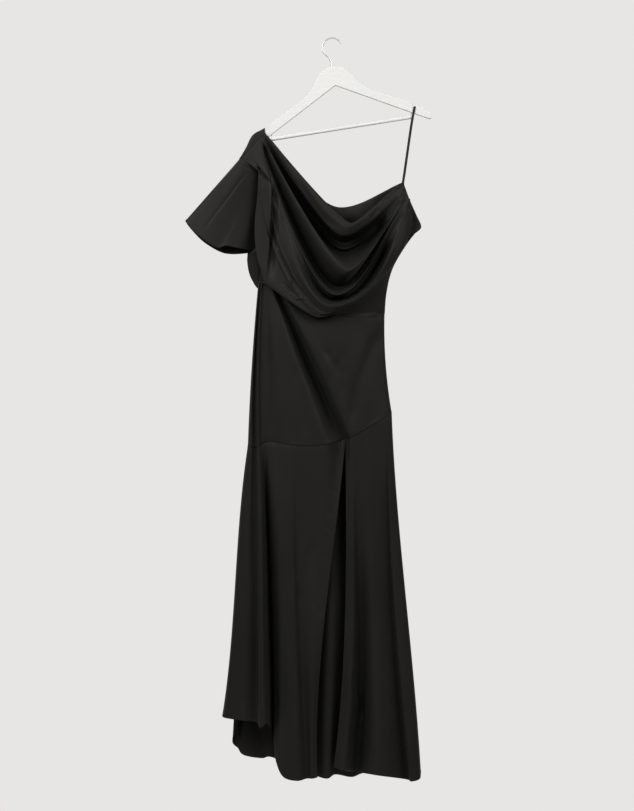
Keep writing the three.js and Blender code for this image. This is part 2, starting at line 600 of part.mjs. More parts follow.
// The sleeve: a flat open tube from the armhole to its hem. Its rings run down the front, round under the
// arm and back up behind. Each row is one line of it: on is how far down the armhole it starts, and x, y and
// z its end at the hem.
const sleeveLines = table("side on x y z", [
  ["front top", "front", 0.005, -364, -6, -463],
  ["front upper", "front", 0.03, -348, -13, -481],
  ["pressed crease", "front", 0.07, -327, -22, -499],
  ["front lower", "front", 0.11, -306, -18, -514],
  ["front bend", "front", 0.17, -286, -15, -523],
  ["front hem ridge", "front", 0.27, -267, -21, -518],
  ["hem hollow", "front", 0.42, -240, -12, -523],
  ["front under", "front", 0.6, -214, -6, -527],
  ["under the arm", "front", 0.72, -202, 1, -530],
  ["back under", "back", 0.94, -203, 8, -532],
  ["back lower", "back", 0.75, -222, 15, -536],
  ["back middle", "back", 0.55, -255, 14, -537.5],
  ["back bend", "back", 0.35, -284, 18, -531],
  ["back upper", "back", 0.16, -325, 14, -506],
  ["back top", "back", 0.03, -357, 8, -473],
  ["top fold", "top", 0, -369, 1, -455.5],
]);
const SLEEVE_GAP = 1.15;

// Where a line of the sleeve leaves the armhole
function armholePoint({ side, on }) {
  if (side === "top") return new THREE.Vector3(-235.4, 0, -301);
  if (side === "back") {
    const away = new THREE.Vector3(-0.9, 0, -0.4 * (1 - on)).normalize();
    return backArmhole.getPointAt(on).addScaledVector(away, SLEEVE_GAP);
  }
  const round = THREE.MathUtils.smoothstep(on, 0.06, 0.16);
  const below = new THREE.Vector3(-0.6, -0.1, -0.75);
  const behind = new THREE.Vector3(-0.25, 0.95, 0);
  return leftSeam.getPointAt(on).addScaledVector(below.lerp(behind, round).normalize(), SLEEVE_GAP);
}

// A value on a closed smooth curve through evenly spaced values
function throughRound(values, t) {
  const n = values.length;
  const i = Math.floor(t * n);
  const f = t * n - i;
  const [p0, p1, p2, p3] = [-1, 0, 1, 2].map((k) => values[(i + k + n) % n]);
  return p1 + 0.5 * f * (p2 - p0 + f * (2 * p0 - 5 * p1 + 4 * p2 - p3 + f * (3 * (p1 - p2) + p3 - p0)));
}

// A point on the sleeve's seam round the armhole, at t from 0 to 1
function sleeveTop(t) {
  const n = sleeveLines.length;
  const i = Math.floor(t * n);
  const [a, b] = [sleeveLines[i], sleeveLines[(i + 1) % n]];
  const f = t * n - i;
  if (a.side !== b.side) return armholePoint(a).lerp(armholePoint(b), f);
  return armholePoint({ side: a.side, on: THREE.MathUtils.lerp(a.on, b.on, f) });
}

function sleeve() {
  const rows = 7;
  const columns = 36;
  const points = Array.from({ length: rows + 1 }, (_, j) =>
    Array.from({ length: columns }, (_, i) => {
      const [x, y, z] = ["x", "y", "z"].map((key) => throughRound(column(sleeveLines, key), i / columns));
      return sleeveTop(i / columns).lerp(new THREE.Vector3(x, y, z), j / rows);
    }),
  );
  return piece("sleeve", clothWall(points, CLOTH, { round: true }), satin);
}

// The hanger, in its own level frame with the origin where its two arms meet underneath
const hanger = new THREE.Group();
hanger.position.set(6, 0, -117);
hanger.rotation.y = -HANGER_TILT;

const hump = [
  { name: "top", x: 9, z: 46.6 },
  { name: "shoulder", x: 24.5, z: 41.2 },
  { name: "side", x: 39, z: 28 },
  { name: "neck", x: 53, z: 8.6 },
  { name: "foot", x: 66, z: -7 },
  { name: "upper arm", x: 82, z: -20 },
  { name: "arm", x: 105, z: -33 },
  { name: "before the notch", x: 179, z: -71 },
];
const armEnd = [
  { name: "notch corner", x: 182, z: -74 },
  { name: "notch wall", x: 182.4, z: -84.5 },
  { name: "notch floor", x: 184, z: -86.3 },
  { name: "notch floor out", x: 189, z: -86.3 },
  { name: "notch lip", x: 191, z: -81.5 },
  { name: "lip", x: 194, z: -81 },
  { name: "end", x: 210, z: -89.5 },
  { name: "end corner", x: 221, z: -101 },
  { name: "tip", x: HANGER_HALF, z: -114 },
  { name: "under the tip", x: 224.5, z: -119 },
  { name: "underside of the tip", x: 218, z: -119 },
  { name: "underside", x: 175, z: -95.5 },
];

function hangerBody() {
  const curve = new THREE.SplineCurve(hump.map(({ x, z }) => new THREE.Vector2(x, z)));
  const half = [...curve.getPoints(22), ...armEnd.map(({ x, z }) => new THREE.Vector2(x, z))];
  const shape = new THREE.Shape();
  shape.moveTo(0, 0);
  for (const { x, y } of [...half].reverse()) shape.lineTo(x, y);
  for (const { x, y } of half) shape.lineTo(-x, y);
  const bevel = 2;
  const body = new THREE.ExtrudeGeometry(shape, {
    depth: WOOD - 2 * bevel,
    bevelThickness: bevel,
    bevelSize: 1.2,
    bevelOffset: -1.2,
    bevelSegments: 1,
  });
  body.translate(0, 0, -WOOD / 2 + bevel);
  body.rotateX(Math.PI / 2);
  return piece("hanger_body", body, paintedWood);
}

// The trouser bar, with a thin pin running on into each arm
function hangerBar() {
  const half = 171;
  const pin = { radius: 1.4, reach: 193.7 };
  const outline = [
    [0, -pin.reach], [pin.radius, -pin.reach], [pin.radius, -half], [BAR_RADIUS - 0.8, -half],
    [BAR_RADIUS, -half + 0.8], [BAR_RADIUS, half - 0.8], [BAR_RADIUS - 0.8, half], [pin.radius, half],
    [pin.radius, pin.reach], [0, pin.reach],
  ];
  const bar = new THREE.LatheGeometry(outline.map(([r, h]) => new THREE.Vector2(r, h)), 20);
  bar.rotateZ(-Math.PI / 2);
  bar.translate(0, 0, -107.5);
  return piece("hanger_bar", bar, paintedWood);
}

// The hook: a round crown, a bend at the left and a leaning stem that ends on top of the wood
function hangerHook() {
  const centre = { x: -2, z: -Math.sqrt((HOOK_RADIUS - WIRE_RADIUS) ** 2 - 4) };
  const points = [new THREE.Vector3(NECK.x, 0, NECK.z)];
  points.push(new THREE.Vector3(NECK.x - 2.2, 0, NECK.z + 14));
  points.push(new THREE.Vector3(-12, 0, -46));
  for (let degrees = 214; degrees >= 25; degrees -= 13.5) {
    const angle = THREE.MathUtils.degToRad(degrees);
    const [right, up] = [Math.cos(angle), Math.sin(angle)];
    points.push(new THREE.Vector3(centre.x + HOOK_RADIUS * right, 0, centre.z + HOOK_RADIUS * up));
  }
  const wire = new THREE.Shape();
  wire.absarc(0, 0, WIRE_RADIUS, 0, 2 * Math.PI);
  const extrudePath = new THREE.CatmullRomCurve3(points, false, "centripetal");
  const options = { steps: 36, curveSegments: 5, bevelEnabled: false, extrudePath };
  return piece("hanger_hook", new THREE.ExtrudeGeometry(wire, options), steel);
}

// The hanger loop: one ribbon up the front, over the notch and down the back
function hangerLoop() {
  const path = curveThrough([
    { name: "front corner", x: 175.4, y: -5.9, z: -358.4 },
    { name: "front rising", x: 178, y: -8.2, z: -340 },
    { name: "front", x: 196, y: -8.2, z: -215 },
    { name: "front of the notch", x: 202.1, y: -8.3, z: -180 },
    { name: "over the edge", x: 203.4, y: -7.9, z: -172 },
    { name: "on the notch", x: 203.6, y: -5, z: -169.6 },
    { name: "behind", x: 203.6, y: 5, z: -169.6 },
    { name: "over the back edge", x: 203.4, y: 7.9, z: -172 },
    { name: "back of the notch", x: 202.1, y: 8.3, z: -180 },
    { name: "back", x: 196, y: 8.2, z: -215 },
    { name: "back rising", x: 178, y: 8.2, z: -340 },
    { name: "back corner", x: 175.4, y: 6.2, z: -357.2 },
  ]);
  const hanging = new THREE.Vector3(0.99, 0, -0.14);
  const onWood = new THREE.Vector3(Math.cos(HANGER_TILT), 0, Math.sin(HANGER_TILT));
  const points = [-1, 1].map((side) =>
    Array.from({ length: 37 }, (_, i) => {
      const point = path.getPointAt(i / 36);
      const across = hanging.clone().lerp(onWood, THREE.MathUtils.smoothstep(point.z, -215, -180));
      return point.addScaledVector(across, (side * RIBBON.width) / 2);
    }),
  );
  return piece("hanger_loop", clothWall(points, RIBBON.thickness, { out: 1 }), satin);
}

hanger.add(hangerBody(), hangerBar());

const dress = new THREE.Group();
dress.add(
  bodiceFront(),
  bodiceBack(),
  sleeve(),
  skirtFront(),
  skirtBack(),
  flounce("flounce_front_left", leftFlounceFolds, frontFolds, 36, 10, 1),
  flounce("flounce_front_right", rightFlounceFolds, frontFolds, 22, 10, 1),
  flounce("flounce_back", backFlounceFolds, backFolds, 34, 10, -1),
  hangerLoop(),
  hangerHook(),
  hanger,
);

export default dress;
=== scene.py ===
"""A long black satin evening dress on a white wooden hanger, in a plain pale studio.

Left and right are the viewer's, looking at the front. The tables are in millimetres in the dress's own frame: +Z is
up, the front faces -Y, and the origin is inside the crown of the hanger's hook. MM turns them into metres.
"""
import math

import bmesh
import bpy
import numpy as np
from bpy.props import FloatProperty, FloatVectorProperty, IntProperty, PointerProperty
from bpy.types import Operator, Panel, PropertyGroup
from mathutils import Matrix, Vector


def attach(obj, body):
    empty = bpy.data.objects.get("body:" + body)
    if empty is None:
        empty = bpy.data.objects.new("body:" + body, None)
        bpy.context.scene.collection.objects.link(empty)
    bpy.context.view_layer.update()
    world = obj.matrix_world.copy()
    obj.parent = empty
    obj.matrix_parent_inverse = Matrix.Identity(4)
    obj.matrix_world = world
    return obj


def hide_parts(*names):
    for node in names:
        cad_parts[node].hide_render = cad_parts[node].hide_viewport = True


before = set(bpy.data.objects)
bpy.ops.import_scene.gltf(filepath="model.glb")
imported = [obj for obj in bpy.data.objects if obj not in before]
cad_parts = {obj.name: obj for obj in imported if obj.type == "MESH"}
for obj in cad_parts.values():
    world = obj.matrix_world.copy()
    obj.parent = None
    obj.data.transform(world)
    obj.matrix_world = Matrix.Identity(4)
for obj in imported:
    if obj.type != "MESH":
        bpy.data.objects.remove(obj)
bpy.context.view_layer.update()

bl_info = {
    "name": "Satin dress on a hanger",
    "version": (1, 0, 0),
    "blender": (4, 5, 0),
    "location": "View3D > Sidebar > Dress",
    "description": "Builds a draped black satin dress, its hanger and a plain studio",
    "category": "Add Mesh",
}

MM = 0.001

# Sizes in millimetres that several pieces share
HANGER_TILT = math.radians(9)
HANGER_ORIGIN = (6, 0, -117)
HANGER_HALF = 226
WOOD = 13
BAR_RADIUS = 4.6
BAR_DROP = 107.5
WIRE_RADIUS = 1.9
HOOK_RADIUS = 24.5
NECK = (-3.3, -70.9)
SIDE_SEAM_Y = 4.0
HEM_PROUD = 0.45  # how far a turned edge stands up
STITCH_INSET = 1.3  # from the raw edge of a hem to its stitching
STITCH_LIFT = 0.02
EDGE_ROUND = 0.45  # how far a wall's edge bulges, as a part of its thickness
SEAM_DEEP, SEAM_WIDTH = 0.8, 2.6  # the dip of the cloth along a seam
PATH_SAMPLES = 60  # steps between two points of a Path


def table(columns, rows):
    """Rows by the names of their columns. Each row starts with its own name."""
    keys = ["name", *columns.split()]
    return [dict(zip(keys, row)) for row in rows]


def column(rows, key):
    return np.array([row[key] for row in rows], float)


def lerp(a, b, t):
    return a + (b - a) * t


def smoothstep(low, high, t):
    t = np.clip((t - low) / (high - low), 0, 1)
    return t * t * (3 - 2 * t)


def hermite(a, b, leave, arrive, t):
    """Points from a to b that leave and arrive in given directions."""
    t = t[:, None]
    s = 1 - t
    return s * s * (1 + 2 * t) * a + t * t * (3 - 2 * t) * b + s * t * (s * leave - t * arrive)


def catmull_rom(p0, p1, p2, p3, f):
    """A smooth curve through four values, at a part f of the way from the second to the third."""
    return p1 + 0.5 * f * (p2 - p0 + f * (2 * p0 - 5 * p1 + 4 * p2 - p3 + f * (3 * (p1 - p2) + p3 - p0)))


def through(values, t):
    """Numbers, or rows of them, along a smooth curve through evenly spaced ones, at each t from 0 to 1."""
    values = np.asarray(values, float)
    spans = len(values) - 1
    at = np.clip(t, 0, 1) * spans
    i = np.minimum(at.astype(int), spans - 1)
    f = (at - i).reshape(-1, *[1] * (values.ndim - 1))
    ends = [2 * values[:1] - values[1:2], values, 2 * values[-1:] - values[-2:-1]]
    padded = np.concatenate(ends)
    return catmull_rom(*(padded[i + k] for k in range(4)), f)


def through_round(values, t):
    """The same on a closed curve."""
    values = np.asarray(values, float)
    n = len(values)
    i = np.floor(t * n).astype(int)
    f = (t * n - i).reshape(-1, *[1] * (values.ndim - 1))
    return catmull_rom(*(values[(i + k) % n] for k in (-1, 0, 1, 2)), f)


def profile(knots, x):
    """Values at each x on a curve through (x, value) knots that never swings past them."""
    xs, ys = np.array(knots, float).T
    slope = np.diff(ys) / np.diff(xs)
    steep = np.concatenate([slope[:1], np.zeros(len(xs) - 2), slope[-1:]])
    product = slope[:-1] * slope[1:]
    same_way = product > 0
    steep[1:-1][same_way] = 2 * product[same_way] / (slope[:-1] + slope[1:])[same_way]
    x = np.clip(x, xs[0], xs[-1])
    i = np.clip(np.searchsorted(xs, x, side="right") - 1, 0, len(xs) - 2)
    h = xs[i + 1] - xs[i]
    f = (x - xs[i]) / h
    g = 1 - f
    ends = g * g * (1 + 2 * f) * ys[i] + f * f * (3 - 2 * f) * ys[i + 1]
    return ends + h * f * g * (g * steep[i] - f * steep[i + 1])


class Path:
    """A smooth curve through named points, measured along its length."""

    def __init__(self, rows):
        points = np.array([row[1:] for row in rows], float)
        points = np.concatenate([2 * points[:1] - points[1:2], points, 2 * points[-1:] - points[-2:-1]])
        line = []
        for p0, p1, p2, p3 in zip(points, points[1:], points[2:], points[3:]):
            steps = [math.sqrt(max(np.linalg.norm(b - a), 1e-6)) for a, b in ((p0, p1), (p1, p2), (p2, p3))]
            d0, d1, d2 = steps
            leave = ((p1 - p0) / d0 - (p2 - p0) / (d0 + d1) + (p2 - p1) / d1) * d1
            arrive = ((p2 - p1) / d1 - (p3 - p1) / (d1 + d2) + (p3 - p2) / d2) * d1
            line.append(hermite(p1, p2, leave, arrive, np.linspace(0, 1, PATH_SAMPLES, endpoint=False)))
        self.line = np.concatenate([*line, points[-2:-1]])
        steps = np.linalg.norm(np.diff(self.line, axis=0), axis=1)
        self.along = np.concatenate([[0], np.cumsum(steps)])
        self.length = self.along[-1]

    def at(self, t):
        """The point at a part t of the curve's length, or the points at several."""
        s = np.clip(t, 0, 1) * self.length
        return np.stack([np.interp(s, self.along, self.line[:, k]) for k in range(3)], axis=-1)


def grid(columns, rows):
    """The parts across and down at which a piece of cloth is worked out."""
    return np.linspace(0, 1, columns + 1), np.linspace(0, 1, rows + 1)


def nearest_on(line, x, z):
    """How far each place lies from a line of (x, z) points, to which side, and how far along it."""
    far = np.full(x.shape, np.inf)
    side = np.zeros(x.shape)
    along = np.zeros(x.shape)
    lengths = np.linalg.norm(np.diff(line, axis=0), axis=1)
    total = lengths.sum()
    done = 0.0
    for (ax, az), (bx, bz), length in zip(line, line[1:], lengths):
        dx, dz = (bx - ax) / length, (bz - az) / length
        t = np.clip((x - ax) * dx + (z - az) * dz, 0, length)
        offx, offz = x - ax - t * dx, z - az - t * dz
        d = np.hypot(offx, offz)
        nearer = d < far
        far = np.where(nearer, d, far)
        side = np.where(nearer, np.sign(offx * dz - offz * dx), side)
        along = np.where(nearer, (done + t) / total, along)
        done += length
    return far, side, along


def beside(line, x, z, reach):
    """The places within reach of a smooth line through some (x, z) points, and for those alone how far they lie from
    it, to which side, and how far along it."""
    line = through(line, np.linspace(0, 1, 5 * len(line)))
    low, high = line.min(axis=0) - reach, line.max(axis=0) + reach
    near = (x > low[0]) & (x < high[0]) & (z > low[1]) & (z < high[1])
    return near, *nearest_on(line, x[near], z[near])


def crease_depth(x, z, creases):
    """How deep soft troughs (positive) and ridges (negative) lie at each place. A crease follows a smooth line
    through its (x, z) points and fades at its ends. lip raises the cloth beside it, to the right of the way it
    runs, or to the left where it is negative."""
    depth = np.zeros(x.shape)
    for _, deep, width, lip, line in creases:
        near, far, side, along = beside(line, x, z, 4 * width)
        across = far * side
        shape = np.exp(-((far / width) ** 2))
        shape -= abs(lip) * np.exp(-((across / width - 1.7 * np.sign(lip)) ** 2))
        fade = smoothstep(0, 0.22, along) * smoothstep(0, 0.22, 1 - along)
        depth[near] += deep * fade * shape
    return depth


def lap_depth(x, z, laps):
    """How far the cloth steps back beyond the edge of a fold that lies over it, before it comes forward again. It
    does so to the left of the way the edge runs, or to the right where its width is negative."""
    depth = np.zeros(x.shape)
    for _, deep, width, line in laps:
        near, far, side, along = beside(line, x, z, abs(width))
        beyond = -far * side / width
        shape = smoothstep(0, 0.14, beyond) * (1 - smoothstep(0.3, 1, beyond))
        fade = smoothstep(0, 0.15, along) * smoothstep(0, 0.35, 1 - along)
        depth[near] += deep * fade * shape
    return depth


# Long soft waves that keep the cloth from lying quite even: length, direction in degrees from across, size, start
WAVES = [(61, 8, 0.34, 0.3), (97, -19, 0.5, 2.1), (43, 27, 0.2, 4.4), (151, 11, 0.6, 1.2), (29, -9, 0.12, 5.5)]


def ripple(x, z, size=1.0, stretch=3.0):
    """A small uneven swell, stretched down the cloth."""
    swell = np.zeros(x.shape)
    for length, degrees, height, start in WAVES:
        angle = math.radians(degrees)
        along = (x * math.cos(angle) + z / stretch * math.sin(angle)) / length
        swell += height * np.sin(2 * math.pi * along + start + 0.9 * np.sin(z / (stretch * length) + start))
    return size * swell


def normals_of(points, out=1, closed=False):
    """Unit normals of a grid of points, towards the outside of the dress."""
    if closed:
        across = np.roll(points, -1, axis=1) - np.roll(points, 1, axis=1)
    else:
        across = np.gradient(points, axis=1)
    normals = out * np.cross(np.gradient(points, axis=0), across)
    return normals / np.maximum(np.linalg.norm(normals, axis=2, keepdims=True), 1e-9)


def edge_distance(points, edge):
    """How far each point of a grid lies from one of its edges, measured along the cloth."""
    axis = 0 if edge in ("top", "bottom") else 1
    steps = np.linalg.norm(np.diff(points, axis=axis), axis=2)
    start = np.zeros_like(steps[:1] if axis == 0 else steps[:, :1])
    distance = np.concatenate([start, np.cumsum(steps, axis=axis)], axis=axis)
    if edge in ("bottom", "right"):
        distance = (distance[-1:] if axis == 0 else distance[:, -1:]) - distance
    return distance


def hemmed(points, hems, out=1, closed=False):
    """Cloth whose edges are turned once: each hem is (edge, width, thickness) and stands a little proud, with a
    faint step along its stitching."""
    proud = np.zeros(points.shape[:2])
    for edge, width, thick in hems:
        distance = edge_distance(points, edge)
        proud = np.maximum(proud, thick * smoothstep(width + 1.2, width - 0.4, distance))
    return points + normals_of(points, out, closed) * proud[..., None]


def line_inside(points, edge, inset, lift, out=1, closed=False):
    """A line on the cloth at a distance from one of its edges, lifted off it a little."""
    distance = edge_distance(points, edge)
    raised = points + normals_of(points, out, closed) * lift
    if edge in ("left", "right"):
        distance, raised = distance.T, raised.transpose(1, 0, 2)
    if edge in ("bottom", "right"):
        distance, raised = distance[::-1], raised[::-1]
    line = np.array([
        [np.interp(inset, distance[:, i], raised[:, i, k]) for k in range(3)] for i in range(raised.shape[1])
    ])
    return np.concatenate([line, line[:1]]) if closed else line


def wall(points, thickness, out=1, closed=False):
    """A thin closed wall from a grid of outer points, with rounded edges: its vertices, its faces, and the number
    of the grid point that each vertex comes from."""
    rows, columns = points.shape[:2]
    inner = points - normals_of(points, out, closed) * thickness
    skin = rows * columns
    number = np.arange(skin).reshape(rows, columns)
    wrapped = np.concatenate([number, number[:, :1]], axis=1) if closed else number
    a, b = wrapped[:-1, :-1], wrapped[1:, :-1]
    c, d = wrapped[1:, 1:], wrapped[:-1, 1:]
    faces = [np.stack([a, b, c, d], axis=-1).reshape(-1, 4)]
    faces.append(np.stack([a, d, c, b], axis=-1).reshape(-1, 4) + skin)
    if closed:
        loops = [wrapped[0], wrapped[-1][::-1]]
    else:
        loops = [np.concatenate([number[0], number[1:, -1], number[-1, -2::-1], number[-2::-1, 0]])]
    vertices = [points.reshape(-1, 3), inner.reshape(-1, 3)]
    count = 2 * skin
    inward = {}
    for j, i in ((0, 1), (rows - 1, rows - 2)):
        for k in range(columns):
            inward.setdefault(number[j, k], []).append(number[i, k])
    if not closed:
        for j, i in ((0, 1), (columns - 1, columns - 2)):
            for k in range(rows):
                inward.setdefault(number[k, j], []).append(number[k, i])
    flat = points.reshape(-1, 3)
    flat_inner = inner.reshape(-1, 3)
    source = [np.arange(skin), np.arange(skin)]
    for loop in loops:
        ring = loop[:-1]
        away = np.array([sum(flat[v] - flat[n] for n in inward[v]) for v in ring])
        away /= np.maximum(np.linalg.norm(away, axis=1, keepdims=True), 1e-9)
        vertices.append((flat[ring] + flat_inner[ring]) / 2 + away * thickness * EDGE_ROUND)
        source.append(ring)
        middle = count + np.arange(len(ring))
        count += len(ring)
        after, middle_after = np.roll(ring, -1), np.roll(middle, -1)
        faces.append(np.stack([ring, after, middle_after, middle], axis=-1))
        faces.append(np.stack([middle, middle_after, after + skin, ring + skin], axis=-1))
    faces = np.concatenate(faces)
    if out < 0:
        faces = faces[:, ::-1]
    return np.concatenate(vertices), faces, np.concatenate(source)


def cloth_object(name, points, thickness, out=1, closed=False):
    """A smooth object of one piece of cloth, with UV places measured along the cloth in metres."""
    vertices, faces, source = wall(points, thickness, out, closed)
    mesh = bpy.data.meshes.new(name)
    mesh.vertices.add(len(vertices))
    mesh.vertices.foreach_set("co", (vertices * MM).astype(np.float32).ravel())
    mesh.loops.add(faces.size)
    mesh.loops.foreach_set("vertex_index", faces.astype(np.int32).ravel())
    mesh.polygons.add(len(faces))
    mesh.polygons.foreach_set("loop_start", np.arange(0, faces.size, 4, dtype=np.int32))
    mesh.update(calc_edges=True)
    mesh.validate()
    across = edge_distance(points, "left")
    down = np.repeat(edge_distance(points, "top").mean(axis=1)[:, None], points.shape[1], axis=1)
    place = (np.stack([across, down], axis=-1).reshape(-1, 2) * MM)[source]
    uv = mesh.uv_layers.new(name="cloth")
    corner = np.zeros(len(mesh.loops), dtype=np.int32)
    mesh.loops.foreach_get("vertex_index", corner)
    uv.data.foreach_set("uv", place[corner].astype(np.float32).ravel())
    shaded_smooth(mesh)
    return linked(name, mesh)


def linked(name, data):
    """A new object in the scene."""
    made = bpy.data.objects.new(name, data)
    bpy.context.scene.collection.objects.link(made)
    return made


def shaded_smooth(mesh):
    mesh.polygons.foreach_set("use_smooth", np.ones(len(mesh.polygons), dtype=bool))


def place_piece(piece, material, slot, *nodes):
    """Gives a piece its material and its place in the frame."""
    piece.data.materials.clear()
    piece.data.materials.append(material)
    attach(piece, "root")
    if nodes:
        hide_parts(*nodes)
    return piece


# Seams. The waist seam is hidden behind the blouse at the left; the hip seam rises to the right.
WAIST_SEAM = [
    (-187, -611), (-162, -611), (-107, -642), (-57, -675), (-7, -691), (30, -694), (80, -695), (129, -691),
]
HIP_SEAM = [
    (-213, -1016), (-197, -1020), (-162, -1006), (-125, -1012), (-60, -1017), (-20, -1014),
    (17, -1005), (42, -997), (97, -966), (147, -935),
]
BACK_HIP_SEAM = [(-213, -1016), (-130, -1014), (-60, -1011), (40, -985), (147, -935)]

# Folds of the skirt between the waist seam and the hip seam, from left to right
FRONT_FOLDS = table("waistX middleX hipX waistY middleY hipY", [
    ("side seam", -187, -203, -213, SIDE_SEAM_Y, SIDE_SEAM_Y, SIDE_SEAM_Y),
    ("side roll", -186, -202, -210.5, -6, -8, -10),
    ("outer ridge", -184, -199, -204, -12, -21, -20),
    ("dark groove", -181, -194, -196, -10, -15, -15),
    ("inner ridge", -178, -187, -187, -17, -26, -25),
    ("crease", -174, -178, -177, -14, -18, -17),
    ("pleat", -169, -161, -160, -17, -16, -14),
    ("left panel", -163, -132, -105, -20, -27, -29),
    ("left bank", -156, -88, -20, -21, -30, -32),
    ("long diagonal", -147, -63, 24, -9, 2, -6),
    ("right bank", -134, -40, 47, -24, -33, -33),
    ("middle", -75, 5, 70, -25, -32, -32),
    ("right panel", 10, 60, 102, -25, -29, -28),
    ("right side", 105, 112, 133, -16, -16, -17),
    ("right roll", 126, 129, 144, -7, -8, -8),
    ("right seam", 129, 132, 147, SIDE_SEAM_Y, SIDE_SEAM_Y, SIDE_SEAM_Y),
])
BACK_FOLDS = table("waistX middleX hipX waistY middleY hipY", [
    ("side seam", -187, -203, -213, SIDE_SEAM_Y, SIDE_SEAM_Y, SIDE_SEAM_Y),
    ("left roll", -185, -200, -210, 13, 14, 14),
    ("left side", -172, -185, -195, 20, 24, 24),
    ("left ridge", -140, -146, -150, 23, 30, 29),
    ("left groove", -85, -88, -90, 20, 24, 24),
    ("middle", -20, -18, -15, 22, 30, 29),
    ("right groove", 45, 47, 50, 20, 24, 24),
    ("right side", 105, 108, 118, 19, 23, 22),
    ("right roll", 126, 129, 143, 12, 13, 13),
    ("right seam", 129, 132, 147, SIDE_SEAM_Y, SIDE_SEAM_Y, SIDE_SEAM_Y),
])

# Folds of the flounces: x at the hip seam, a third and two thirds down and at the hem
LEFT_FLOUNCE_FOLDS = table("seamX upperX lowerX hemX hemZ upperY hemY", [
    ("side seam", -213, -237, -252, -277, -1694, SIDE_SEAM_Y, 6.0),
    ("side roll", -210, -231, -246, -268, -1696, -15, -20),
    ("outer panel", -204, -213, -218, -224, -1701, -25, -36),
    ("groove", -196, -195, -190, -191, -1704, -20, -35),
    ("ridge", -186, -184, -181, -180, -1717, -37, -64),
    ("ridge inside", -179, -173, -169, -163, -1707, -30, -56),
    ("deep groove", -171, -163, -155, -151, -1748, 2, 12),
    ("groove right", -162, -149, -139, -142, -1803, -20, -34),
    ("middle left", -142, -132, -123, -124, -1840, -32, -46),
    ("middle", -105, -102, -94, -90, -1849, -36, -54),
    ("small groove", -86, -84, -76, -66, -1845, -27, -38),
    ("lap", -30, -38, -50, -52, -1844, -36, -50),
    ("slit edge", 30.8, -1, -32, -39, -1842, -32, -42),
])
RIGHT_FLOUNCE_FOLDS = table("seamX upperX lowerX hemX hemZ upperY hemY", [
    ("slit edge", 31.2, 32.5, 26, 2, -1817, -29, -36),
    ("edge fold", 46, 50, 48, 28, -1825, -33, -46),
    ("groove", 62, 66, 72, 60, -1832, -23, -6),
    ("middle", 92, 94, 105, 107, -1835, -35, -54),
    ("side groove", 132, 136, 155, 182, -1849, -18, -18),
    ("side ridge", 138, 144, 165, 194, -1852, -27, -40),
    ("side roll", 144.5, 164, 192, 215, -1847, -15, -33),
    ("side seam", 147, 167, 196, 220, -1835, SIDE_SEAM_Y, 6.0),
])
BACK_FLOUNCE_FOLDS = table("seamX upperX lowerX hemX hemZ upperY hemY", [
    ("side seam", -213, -237, -252, -277, -1694, SIDE_SEAM_Y, 6.0),
    ("turned in", -211, -228, -234, -240, -1710, 13, 16),
    ("fold edge", -208, -228, -240, -252, -1758, 20, 25),
    ("first lobe", -202, -217, -228, -239, -1776, 25, 33),
    ("second lobe", -192, -203, -213, -224, -1793, 23, 27),
    ("third lobe", -175, -180, -180, -180, -1802, 29, 36),
    ("step", -155, -153, -153, -155, -1798, 24, 27),
    ("hidden ridge", -107, -107, -103, -100, -1822, 31, 38),
    ("inner ridge", -30, -22, -18, -22, -1846, -14, -24),
    ("inner groove", 4, 12, 14, 6, -1838, -8, -8),
    ("middle lobe", 30, 38, 44, 47, -1847, 10, 16),
    ("next lobe", 58, 62, 72, 78, -1839, 31, 37),
    ("right ridge", 100, 105, 125, 140, -1830, 26, 28),
    ("right side", 130, 145, 170, 190, -1835, 25, 30),
    ("right roll", 144, 162, 190, 213, -1833, 15, 18),
    ("side seam", 147, 167, 196, 220, -1835, SIDE_SEAM_Y, 6.0),
])

# Edges of the bodice front
SHOULDER_SEAM = Path([
    ("neck point", -170, -9.4, -236),
    ("sleeve head", -230, -9.4, -298),
])
SHOULDER_FOLD = Path([
    ("neck point", -170.5, 0, -223.5),
    ("over the notch", -178, 0, -224.5),
    ("corner", -190, 0, -233),
    ("over the tip", -208, 0, -248),
    ("outside the tip", -218, 0, -273),
    ("sleeve head", -233, 0, -298),
])
ARMHOLE_FOLD = Path([
    ("sleeve head", -230, -9.4, -298),
    ("front of the sleeve", -208, -13, -305),
    ("top of the side fold", -190, -18, -316),
    ("upper side fold", -187.5, -22, -352),
    ("side fold", -190, -25, -415),
    ("widest", -197, -27, -485),
    ("under the arm", -193, -28, -528),
    ("lower side fold", -183, -30, -568),
    ("blouse corner", -170, -30, -612),
])
LEFT_SEAM = Path([
    ("sleeve head", -232, -9.4, -298),
    ("front of the sleeve", -210, -12, -306),
    ("top of the side fold", -187, -6, -318),
    ("upper side fold", -181, -2, -352),
    ("side fold", -182, 0, -415),
    ("widest", -187, 2, -485),
    ("under the arm", -184, 3, -528),
    ("lower side", -181, 3.4, -570),
    ("waist", -186, 3.6, -605),
])
RIGHT_EDGE = Path([
    ("loop corner", 175, -5, -359),
    ("armhole top", 179, -9, -378),
    ("armhole point", 207, -8, -441),
    ("turned under", 200, -5, -468),
    ("under the arm", 183, 0, -511),
    ("side seam upper", 162, 3, -549),
    ("side seam middle", 145, 3.6, -585),
    ("side seam lower", 133, 3.6, -640),
    ("waist", 129, 3.6, -690.6),
])

